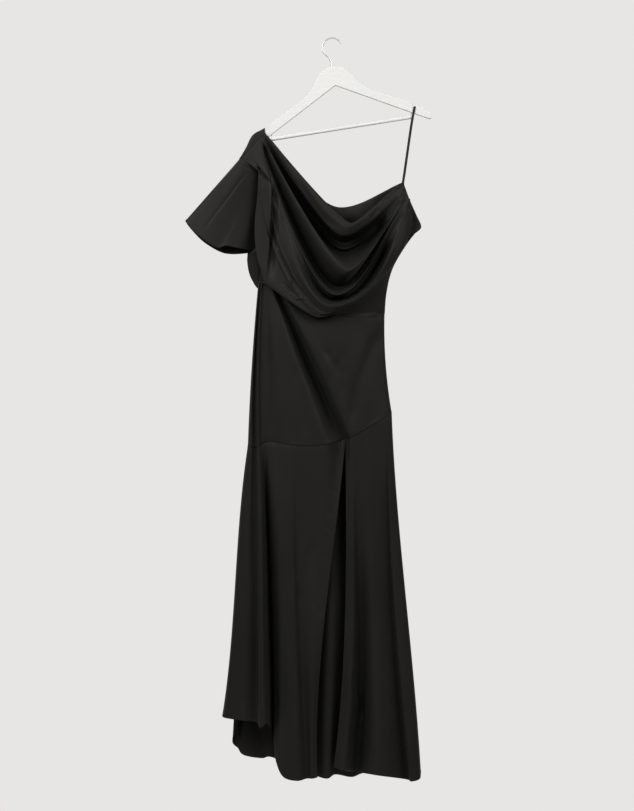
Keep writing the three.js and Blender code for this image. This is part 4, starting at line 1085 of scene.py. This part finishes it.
def stitch_tree():
    """Geometry Nodes that set one small thread stitch after another along a line."""
    tree = bpy.data.node_groups.new("stitches_along_a_line", "GeometryNodeTree")
    sockets = tree.interface
    sockets.new_socket("Line", in_out="INPUT", socket_type="NodeSocketGeometry")
    for name, default in (("Pitch", 0.003), ("Stitch length", 0.0022), ("Thread radius", 0.0002)):
        sockets.new_socket(name, in_out="INPUT", socket_type="NodeSocketFloat").default_value = default
    sockets.new_socket("Thread", in_out="INPUT", socket_type="NodeSocketMaterial")
    sockets.new_socket("Stitches", in_out="OUTPUT", socket_type="NodeSocketGeometry")
    enter = tree.nodes.new("NodeGroupInput")
    leave = tree.nodes.new("NodeGroupOutput")
    curve = add_node(tree, "GeometryNodeMeshToCurve", {"Mesh": enter.outputs["Line"]})
    points = add_node(tree, "GeometryNodeCurveToPoints", mode="LENGTH")
    tree.links.new(curve.outputs["Curve"], points.inputs["Curve"])
    tree.links.new(enter.outputs["Pitch"], points.inputs["Length"])
    stitch = add_node(tree, "GeometryNodeMeshUVSphere", {"Segments": 6, "Rings": 5, "Radius": 1.0})
    half = add_node(tree, "ShaderNodeMath", {0: enter.outputs["Stitch length"], 1: 0.5}, operation="MULTIPLY")
    radius = enter.outputs["Thread radius"]
    size = add_node(tree, "ShaderNodeCombineXYZ", {"X": radius, "Y": radius, "Z": half.outputs[0]})
    put = add_node(tree, "GeometryNodeInstanceOnPoints", {"Points": points.outputs["Points"]})
    tree.links.new(stitch.outputs["Mesh"], put.inputs["Instance"])
    tree.links.new(points.outputs["Rotation"], put.inputs["Rotation"])
    tree.links.new(size.outputs["Vector"], put.inputs["Scale"])
    real = add_node(tree, "GeometryNodeRealizeInstances", {"Geometry": put.outputs["Instances"]})
    paint = add_node(tree, "GeometryNodeSetMaterial", {"Geometry": real.outputs["Geometry"]})
    tree.links.new(enter.outputs["Thread"], paint.inputs["Material"])
    tree.links.new(paint.outputs["Geometry"], leave.inputs["Stitches"])
    return tree


def sewn(name, lines, cloth):
    """One piece with all the stitches along some lines on the cloth."""
    mesh = bpy.data.meshes.new(name + "_lines")
    vertices, edges = [], []
    for line in lines:
        start = len(vertices)
        vertices.extend((line * MM).tolist())
        edges.extend((start + k, start + k + 1) for k in range(len(line) - 1))
    mesh.from_pydata(vertices, edges, [])
    seam = linked(name + "_lines", mesh)
    tree = bpy.data.node_groups.get("stitches_along_a_line") or stitch_tree()
    modifier = seam.modifiers.new("stitches", "NODES")
    modifier.node_group = tree
    thread = finish("black_thread", thread_finish, cloth)
    values = {"Pitch": cloth.stitch_pitch, "Stitch length": 0.72 * cloth.stitch_pitch, "Thread": thread}
    for socket in tree.interface.items_tree:
        if socket.name in values:
            modifier[socket.identifier] = values[socket.name]
    evaluated = seam.evaluated_get(bpy.context.evaluated_depsgraph_get())
    made = bpy.data.meshes.new_from_object(evaluated)
    made.name = name
    shaded_smooth(made)
    piece = linked(name, made)
    bpy.data.objects.remove(seam)
    if not made.polygons:
        raise RuntimeError(f"no stitches were made for {name}")
    return place_piece(piece, thread, "satin")


# The hanger loop: one ribbon up the front, over the notch and down the back
LOOP = Path([
    ("sewn on in front", 174.6, -6.6, -366),
    ("front corner", 175.4, -7.2, -356),
    ("front rising", 178, -8.2, -340),
    ("front", 196, -8.2, -215),
    ("front of the notch", 202.1, -8.3, -180),
    ("over the edge", 203.4, -7.9, -172),
    ("on the notch", 203.6, -5, -169.6),
    ("behind", 203.6, 5, -169.6),
    ("over the back edge", 203.4, 7.9, -172),
    ("back of the notch", 202.1, 8.3, -180),
    ("back", 196, 8.2, -215),
    ("back rising", 178, 8.2, -340),
    ("back corner", 175.4, 7.4, -357),
    ("sewn on behind", 174.8, 6.6, -364),
])
RIBBON_WIDTH = 5.4
RIBBON_THICK = 0.8

# The hanger's outline, from the top of its hump out to the tip and back underneath, in its own level frame
HUMP = [
    (0, 47.4), (9, 46.6), (24.5, 41.2), (39, 28), (53, 8.6), (66, -7), (82, -20), (105, -33), (142, -52), (179, -71),
]
ARM_END = [
    ("notch corner", 182, -74),
    ("notch wall", 182.9, -86.3),
    ("notch floor", 189, -86.3),
    ("notch lip", 191, -81.5),
    ("lip", 194, -81),
    ("end", 210, -89.5),
    ("end corner", 221, -101),
    ("tip", HANGER_HALF, -114),
    ("under the tip", 224.5, -119),
    ("underside of the tip", 218, -119),
    ("underside", 175, -95.5),
]
BAR_HALF = 178.5
PEG_AT = 176.6
PEG_TOP = -93
PEG_RADIUS = 1.5
HOOK_FROM, HOOK_TO = 214, 25  # degrees round the crown


def loop_points(columns, rows):
    """The ribbon, flat on the wood where it crosses the notch and level where it hangs."""
    along = LOOP.at(np.linspace(0, 1, columns + 1))
    hanging = np.array([0.99, 0, -0.14])
    on_wood = np.array([math.cos(HANGER_TILT), 0, math.sin(HANGER_TILT)])
    turned = smoothstep(-215, -180, along[:, 2])[:, None]
    across = lerp(hanging, on_wood, turned) * RIBBON_WIDTH / 2
    side = np.linspace(-1, 1, rows + 1)[:, None, None]
    return along[None] + side * across[None]


def on_hanger(points):
    """Points of the hanger's own level frame, tilted as it hangs."""
    x, y, z = np.moveaxis(np.asarray(points, float), -1, 0)
    c, s = math.cos(HANGER_TILT), math.sin(HANGER_TILT)
    return np.stack([x * c - z * s, y, x * s + z * c], axis=-1) + np.array(HANGER_ORIGIN)


def solid_object(name, mesh):
    """A smooth object from a bmesh in metres, with its normals outwards."""
    bmesh.ops.recalc_face_normals(mesh, faces=mesh.faces)
    data = bpy.data.meshes.new(name)
    mesh.to_mesh(data)
    mesh.free()
    shaded_smooth(data)
    return linked(name, data)


def rounded_edges(piece, width):
    bevel = piece.modifiers.new("rounded edges", "BEVEL")
    bevel.width = width
    bevel.segments = 3
    bevel.limit_method = "ANGLE"
    bevel.angle_limit = math.radians(40)
    bevel.harden_normals = True


def hanger_outline():
    half = through(HUMP, np.linspace(0, 1, 64)).tolist()
    half += [(x, z) for _, x, z in ARM_END]
    return [(0, 0)] + [(-x, z) for x, z in reversed(half)] + [(x, z) for x, z in half[1:]]


def board(name, outline, thick):
    """A flat board of the given outline, standing upright across the middle of the dress."""
    mesh = bmesh.new()
    front, back = (
        [mesh.verts.new(p * MM) for p in on_hanger([(x, y, z) for x, z in outline])]
        for y in (-thick / 2, thick / 2)
    )
    mesh.faces.new(front)
    mesh.faces.new(back[::-1])
    for i in range(len(outline)):
        mesh.faces.new([front[i - 1], back[i - 1], back[i], front[i]])
    return solid_object(name, mesh)


def add_rod(mesh, line, radii, around=24):
    """A round rod along a line that keeps to the plane of the hanger, with a radius at each of its points. The UV
    map runs along it and round it, in metres."""
    uv = mesh.loops.layers.uv.get("along") or mesh.loops.layers.uv.new("along")
    line = np.asarray(line, float)
    ahead = np.gradient(line, axis=0)
    ahead /= np.linalg.norm(ahead, axis=1, keepdims=True)
    side = np.stack([-ahead[:, 2], np.zeros(len(line)), ahead[:, 0]], axis=1)
    angle = 2 * math.pi * np.arange(around) / around
    steps = np.linalg.norm(np.diff(line, axis=0), axis=1)
    along = np.concatenate([[0], np.cumsum(steps)])
    rings = []
    for point, off, radius in zip(line, side, radii):
        ring = point + radius * (np.cos(angle)[:, None] * off + np.sin(angle)[:, None] * np.array([0, 1, 0]))
        rings.append([mesh.verts.new(p * MM) for p in ring])
    for j in range(len(rings) - 1):
        for i in range(around):
            n = (i + 1) % around
            face = mesh.faces.new([rings[j][i], rings[j][n], rings[j + 1][n], rings[j + 1][i]])
            places = [(along[j], i), (along[j], i + 1), (along[j + 1], i + 1), (along[j + 1], i)]
            for corner, (a, k) in zip(face.loops, places):
                corner[uv].uv = (a * MM, radii[j] * 2 * math.pi * k / around * MM)
    for ring, end, way in ((rings[0], line[0], -ahead[0]), (rings[-1], line[-1], ahead[-1])):
        pole = mesh.verts.new((end + way * 0.05) * MM)
        for i in range(around):
            mesh.faces.new([ring[i], ring[(i + 1) % around], pole])


def rounded_ends(length, radius, round_by, steps=6):
    """Places along a rod and its radius there, with both ends rounded off."""
    turn = np.linspace(0.08, 1, steps) * math.pi / 2
    near = round_by * (1 - np.cos(turn))
    rise = radius - round_by + round_by * np.sin(turn)
    places = np.concatenate([near, np.linspace(round_by, length - round_by, 40)[1:-1], length - near[::-1]])
    return places, np.concatenate([rise, np.full(38, radius), rise[::-1]])


def bar_mesh():
    mesh = bmesh.new()
    places, radii = rounded_ends(2 * BAR_HALF, BAR_RADIUS, 1.2)
    add_rod(mesh, on_hanger([(x - BAR_HALF, 0, -BAR_DROP) for x in places]), radii)
    for side in (-1, 1):
        peg = [(side * PEG_AT, 0, z) for z in np.linspace(-BAR_DROP, PEG_TOP, 8)]
        add_rod(mesh, on_hanger(peg), [PEG_RADIUS] * 8, around=16)
    return mesh


def hook_line():
    """The middle of the hook's wire: a leaning stem, a bend at the left and the round crown."""
    centre_x, centre_z = -2, -math.sqrt((HOOK_RADIUS - WIRE_RADIUS) ** 2 - 4)
    rows = [("in the wood", NECK[0] + 1.5, 0, NECK[1] - 9), ("neck", NECK[0], 0, NECK[1])]
    rows += [("stem", NECK[0] - 2.2, 0, NECK[1] + 14), ("bend", -12, 0, -46)]
    for degrees in np.arange(HOOK_FROM, HOOK_TO - 1, -13.5):
        angle = math.radians(degrees)
        x, z = centre_x + HOOK_RADIUS * math.cos(angle), centre_z + HOOK_RADIUS * math.sin(angle)
        rows.append(("crown", x, 0, z))
    return Path(rows)


def hook_mesh():
    mesh = bmesh.new()
    path = hook_line()
    places, ends = rounded_ends(path.length, WIRE_RADIUS, 1.6)
    fine = np.linspace(0, path.length, 200)
    places = np.unique(np.concatenate([places[:6], fine[(fine > 2) & (fine < path.length - 2)], places[-6:]]))
    radii = np.full(len(places), WIRE_RADIUS)
    radii[:6] = ends[:6]
    radii[-6:] = ends[:6][::-1]
    add_rod(mesh, path.at(places / path.length), radii)
    return mesh


def size_setting(name, description, default, low, high):
    settings = {"name": name, "description": description, "default": default, "min": low, "max": high}
    return FloatProperty(**settings, unit="LENGTH", precision=5)


def colour_setting(name, description, default):
    settings = {"name": name, "description": description, "default": default, "min": 0, "max": 1}
    return FloatVectorProperty(**settings, size=3, subtype="COLOR")


class ClothSettings(PropertyGroup):
    thickness: size_setting("Thickness", "Thickness of the satin", 0.0008, 0.0003, 0.002)
    hem: size_setting("Hem", "Width of the turned edges", 0.006, 0.002, 0.03)
    thread_spacing: size_setting("Thread spacing", "Distance between the warp threads", 0.0004, 0.0001, 0.002)
    stitch_pitch: size_setting("Stitch pitch", "Distance from one stitch to the next", 0.003, 0.001, 0.01)
    colour: colour_setting("Colour", "Colour of the satin", (0.0215, 0.0207, 0.0195))
    # Reach of the painted shade: how far off other cloth the satin's colour is darkened in a fold
    painted_fold_shade: size_setting("Recess", "How far off other cloth darkens a fold", 0.09, 0.01, 0.3)
    roughness: FloatProperty(
        name="Roughness", description="How dull the satin is", default=0.48, min=0.1, max=1, subtype="FACTOR",
    )
    detail: IntProperty(
        name="Detail", description="Fineness of the cloth's mesh", default=100, min=20, max=110,
        subtype="PERCENTAGE",
    )


class HangerSettings(PropertyGroup):
    edge: size_setting("Edge radius", "How far the wood's edges are rounded", 0.002, 0.0005, 0.004)
    paint_colour: colour_setting("Paint", "Colour of the painted wood", (0.93, 0.935, 0.905))
    hook_colour: colour_setting("Steel", "Colour of the hook", (0.88, 0.88, 0.87))


class StageSettings(PropertyGroup):
    backdrop_colour: colour_setting("Backdrop", "Colour all round and of the floor", (0.799, 0.791, 0.776))
    lens: FloatProperty(
        name="Lens", description="Focal length of the camera", default=150, min=20, max=300, unit="CAMERA",
    )
    view_height: size_setting("View height", "Height of the picture at the dress", 2.0275, 0.5, 6)
    aim: FloatVectorProperty(
        name="Aim", description="Middle of the picture", default=(-0.04, 0, -0.91675), size=3, unit="LENGTH",
    )
    floor_height: size_setting("Floor", "Height of the floor", -2.25, -4, 0)
    floor_radius: size_setting("Floor radius", "Radius of the round floor", 1.7, 0.5, 3)
    fill: FloatProperty(
        name="Fill", description="Light that comes from all round", default=0.13, min=0, max=2, subtype="FACTOR",
    )
    side_light: FloatProperty(
        name="Side lights", description="Power of the softboxes at the upper left and right", default=42, min=0,
        max=500, unit="POWER",
    )
    top_light: FloatProperty(
        name="Top light", description="Power of the long softbox above", default=12, min=0, max=500, unit="POWER",
    )


class Step:
    """A step that builds one part of the scene."""

    def execute(self, context):
        self.build(context.scene)
        return {"FINISHED"}


def divided(cloth, *counts):
    """Numbers of divisions at the chosen fineness."""
    return [max(8, round(count * cloth.detail / 100)) for count in counts]


def cut_and_sewn(node, points, cloth, turned, flat, area, held, rests_on, out=1, closed=False):
    """One cut piece of the dress: its cloth, with the edges that are turned, and their stitches. Its flat size in
    metres is not used."""
    hems = [(edge, cloth.hem / MM, HEM_PROUD) for edge in turned]
    points = hemmed(points, hems, out, closed)
    piece = cloth_object(node + "_cloth", points, cloth.thickness / MM, out, closed)
    place_piece(piece, finish("black_satin", satin_finish, cloth), "satin", node)
    if turned:
        inset = cloth.hem / MM - STITCH_INSET
        lines = [line_inside(points, edge, inset, STITCH_LIFT, out, closed) for edge in turned]
        sewn(node + "_stitches", lines, cloth)


class DRESS_OT_bodice_front(Step, Operator):
    """Drape the bodice front, from its cowl neck down to the blouse over the waist seam"""

    bl_idname = "dress.bodice_front"
    bl_label = "Bodice front"

    def build(self, scene):
        cloth = scene.dress_cloth
        points = bodice_front_points(*divided(cloth, 230, 190))
        sizes = {"flat": (0.50, 0.52), "area": 0.226}
        cut_and_sewn("bodice_front", points, cloth, ["top"], **sizes, held="draped", rests_on=["hanger_body"])


class DRESS_OT_bodice_back(Step, Operator):
    """Lay the bodice back over the hanger's end and down to the waist seam"""

    bl_idname = "dress.bodice_back"
    bl_label = "Bodice back"

    def build(self, scene):
        cloth = scene.dress_cloth
        points = bodice_back_points(*divided(cloth, 120, 100))
        sizes = {"flat": (0.42, 0.46), "area": 0.128}
        cut_and_sewn("bodice_back", points, cloth, ["top"], **sizes, held="draped", rests_on=["hanger_body"], out=-1)


class DRESS_OT_sleeve(Step, Operator):
    """Hang the flutter sleeve from the left armhole"""

    bl_idname = "dress.sleeve"
    bl_label = "Flutter sleeve"

    def build(self, scene):
        cloth = scene.dress_cloth
        points = sleeve_points(*divided(cloth, 200, 80))
        sizes = {"flat": (0.42, 0.22), "area": 0.056}
        hung = {"held": "hung", "rests_on": ["bodice_front_cloth", "bodice_back_cloth"]}
        cut_and_sewn("sleeve", points, cloth, ["bottom"], **sizes, **hung, closed=True)


class DRESS_OT_skirt(Step, Operator):
    """Hang the two skirt panels between the waist seam and the hip seam"""

    bl_idname = "dress.skirt"
    bl_label = "Skirt panels"

    def build(self, scene):
        cloth = scene.dress_cloth
        points = skirt_points(FRONT_FOLDS, SKIRT_CREASES, *divided(cloth, 200, 150))
        sizes = {"flat": (0.42, 0.43), "area": 0.14}
        cut_and_sewn("skirt_front", points, cloth, [], **sizes, held="hung", rests_on=["bodice_front_cloth"])
        points = skirt_points(BACK_FOLDS, [], *divided(cloth, 120, 90), out=-1)
        sizes = {"flat": (0.36, 0.42), "area": 0.12}
        cut_and_sewn("skirt_back", points, cloth, [], **sizes, held="hung", rests_on=["bodice_back_cloth"], out=-1)


class DRESS_OT_flounces(Step, Operator):
    """Hang the three flounces from the hip seam: two in front, with the slit between them, and one behind"""

    bl_idname = "dress.flounces"
    bl_label = "Flounces"

    def build(self, scene):
        cloth = scene.dress_cloth
        left, right = ("top", "left"), ("top", "right")
        points = flounce_points(
            LEFT_FLOUNCE_FOLDS, FRONT_FOLDS, LEFT_FLOUNCE_CREASES, *divided(cloth, 200, 190), seams=left
        )
        hung = {"held": "hung", "rests_on": ["skirt_front_cloth"]}
        sizes = {"flat": (0.40, 0.86), "area": 0.24}
        cut_and_sewn("flounce_front_left", points, cloth, ["bottom", "right"], **sizes, **hung)
        points = flounce_points(
            RIGHT_FLOUNCE_FOLDS, FRONT_FOLDS, RIGHT_FLOUNCE_CREASES, *divided(cloth, 130, 190), seams=right
        )
        sizes = {"flat": (0.28, 0.92), "area": 0.192}
        cut_and_sewn("flounce_front_right", points, cloth, ["bottom", "left"], **sizes, **hung)
        points = flounce_points(BACK_FLOUNCE_FOLDS, BACK_FOLDS, [], *divided(cloth, 180, 130), out=-1)
        hung = {"held": "hung", "rests_on": ["skirt_back_cloth"]}
        sizes = {"flat": (0.56, 0.92), "area": 0.39}
        cut_and_sewn("flounce_back", points, cloth, ["bottom"], **sizes, **hung, out=-1)


class DRESS_OT_hanger_loop(Step, Operator):
    """Lay the ribbon loop over the hanger's right notch"""

    bl_idname = "dress.hanger_loop"
    bl_label = "Hanger loop"

    def build(self, scene):
        cloth = scene.dress_cloth
        loop = cloth_object("hanger_loop_ribbon", loop_points(260, 8), RIBBON_THICK)
        place_piece(loop, finish("black_ribbon", ribbon_finish, cloth), "ribbon", "hanger_loop")


class DRESS_OT_hanger(Step, Operator):
    """Cut the hanger's flat body and turn its bar"""

    bl_idname = "dress.hanger"
    bl_label = "Hanger"

    def build(self, scene):
        hanger = scene.dress_hanger
        paint = finish("white_painted_wood", painted_wood_finish, hanger)
        body = board("painted_hanger", hanger_outline(), WOOD)
        rounded_edges(body, hanger.edge)
        place_piece(body, paint, "white_wood", "hanger_body")
        bar = solid_object("painted_bar", bar_mesh())
        place_piece(bar, paint, "white_wood", "hanger_bar")


class DRESS_OT_hook(Step, Operator):
    """Bend the hanger's steel hook"""

    bl_idname = "dress.hook"
    bl_label = "Hook"

    def build(self, scene):
        hook = solid_object("steel_hook", hook_mesh())
        steel = finish("satin_steel", hook_finish, scene.dress_hanger)
        place_piece(hook, steel, "hook_steel", "hanger_hook")


SOFTBOX = (1.4, 1.4)
RIGHT_SHARE, BACK_SHARE = 0.75, 0.6  # power of the right and the back lights, as parts of the left one's
SENSOR = 36  # width of the camera's sensor


def soft_light(name, power, size, place, aim):
    """A large area light that faces a point."""
    data = bpy.data.lights.new(name, "AREA")
    data.shape = "RECTANGLE"
    data.size, data.size_y = size
    data.energy = power
    light = linked(name, data)
    light.location = place
    light.rotation_euler = (aim - Vector(place)).to_track_quat("-Z", "Y").to_euler()
    light.visible_camera = False


class DRESS_OT_stage(Step, Operator):
    """Set up the pale floor, the soft lights and the camera"""

    bl_idname = "dress.stage"
    bl_label = "Stage"

    def build(self, scene):
        stage = scene.dress_stage
        aim = Vector(stage.aim)
        mesh = bmesh.new()
        bmesh.ops.create_circle(mesh, cap_ends=True, segments=96, radius=stage.floor_radius)
        bmesh.ops.translate(mesh, verts=mesh.verts, vec=(0, 0, stage.floor_height))
        floor = solid_object("floor", mesh)
        floor.data.materials.append(floor_finish(stage))
        world = bpy.data.worlds.new("pale_room")
        world.use_nodes = True
        tree = world.node_tree
        backdrop = {"Color": (*stage.backdrop_colour, 1)}
        seen = socket_values(tree.nodes["Background"], {**backdrop, "Strength": 1.0})
        fill = add_node(tree, "ShaderNodeBackground", {**backdrop, "Strength": stage.fill})
        rays = add_node(tree, "ShaderNodeLightPath")
        choose = add_node(tree, "ShaderNodeMixShader", {0: rays.outputs["Is Camera Ray"], 1: fill.outputs[0]})
        tree.links.new(seen.outputs[0], choose.inputs[2])
        tree.links.new(choose.outputs[0], tree.nodes["World Output"].inputs["Surface"])
        scene.world = world
        scene.view_settings.view_transform = "Standard"
        middle = Vector((0, 0, -0.7))
        shoulders = Vector((0, 0, -0.3))
        soft_light("left_light", stage.side_light, SOFTBOX, (-1.7, -1.8, 0.7), shoulders)
        soft_light("right_light", RIGHT_SHARE * stage.side_light, SOFTBOX, (1.7, -1.8, 0.7), shoulders)
        behind = BACK_SHARE * stage.side_light
        soft_light("left_back_light", behind, SOFTBOX, (-1.9, 2.2, 0.7), middle)
        soft_light("right_back_light", behind, SOFTBOX, (1.9, 2.2, 0.7), middle)
        soft_light("top_light", stage.top_light, (3.2, 1.2), (0, -1.7, 1.5), middle)
        data = bpy.data.cameras.new("camera")
        data.lens = stage.lens
        data.sensor_width = SENSOR
        camera = linked("camera", data)
        camera.location = aim - Vector((0, stage.view_height * stage.lens / data.sensor_width, 0))
        camera.rotation_euler = (math.radians(90), 0, 0)
        scene.camera = camera


class DRESS_PT_panel(Panel):
    """The dress's settings and pieces"""

    bl_idname = "DRESS_PT_panel"
    bl_label = "Satin dress"
    bl_space_type = "VIEW_3D"
    bl_region_type = "UI"
    bl_category = "Dress"

    def draw(self, context):
        for title, settings, operators in PANEL_PARTS:
            box = self.layout.box()
            box.label(text=title)
            group = getattr(context.scene, settings)
            for setting in group.__annotations__:
                box.prop(group, setting)
            for operator in operators:
                box.operator(operator.bl_idname)


CLOTH_OPERATORS = [
    DRESS_OT_bodice_front, DRESS_OT_bodice_back, DRESS_OT_sleeve, DRESS_OT_skirt, DRESS_OT_flounces,
    DRESS_OT_hanger_loop,
]
HANGER_OPERATORS = [DRESS_OT_hanger, DRESS_OT_hook]
PANEL_PARTS = [
    ("Dress", "dress_cloth", CLOTH_OPERATORS),
    ("Hanger", "dress_hanger", HANGER_OPERATORS),
    ("Studio", "dress_stage", [DRESS_OT_stage]),
]
SETTINGS = {"dress_cloth": ClothSettings, "dress_hanger": HangerSettings, "dress_stage": StageSettings}
CLASSES = [*SETTINGS.values(), *HANGER_OPERATORS, *CLOTH_OPERATORS, DRESS_OT_stage, DRESS_PT_panel]


def register():
    for cls in CLASSES:
        bpy.utils.register_class(cls)
    for name, group in SETTINGS.items():
        setattr(bpy.types.Scene, name, PointerProperty(type=group))


def unregister():
    for name in SETTINGS:
        delattr(bpy.types.Scene, name)
    for cls in reversed(CLASSES):
        bpy.utils.unregister_class(cls)


def main():
    register()
    bpy.ops.dress.hanger()
    bpy.ops.dress.hook()
    bpy.ops.dress.bodice_front()
    bpy.ops.dress.bodice_back()
    bpy.ops.dress.sleeve()
    bpy.ops.dress.skirt()
    bpy.ops.dress.flounces()
    bpy.ops.dress.hanger_loop()
    bpy.ops.dress.stage()


if __name__ == "__main__":
    main()
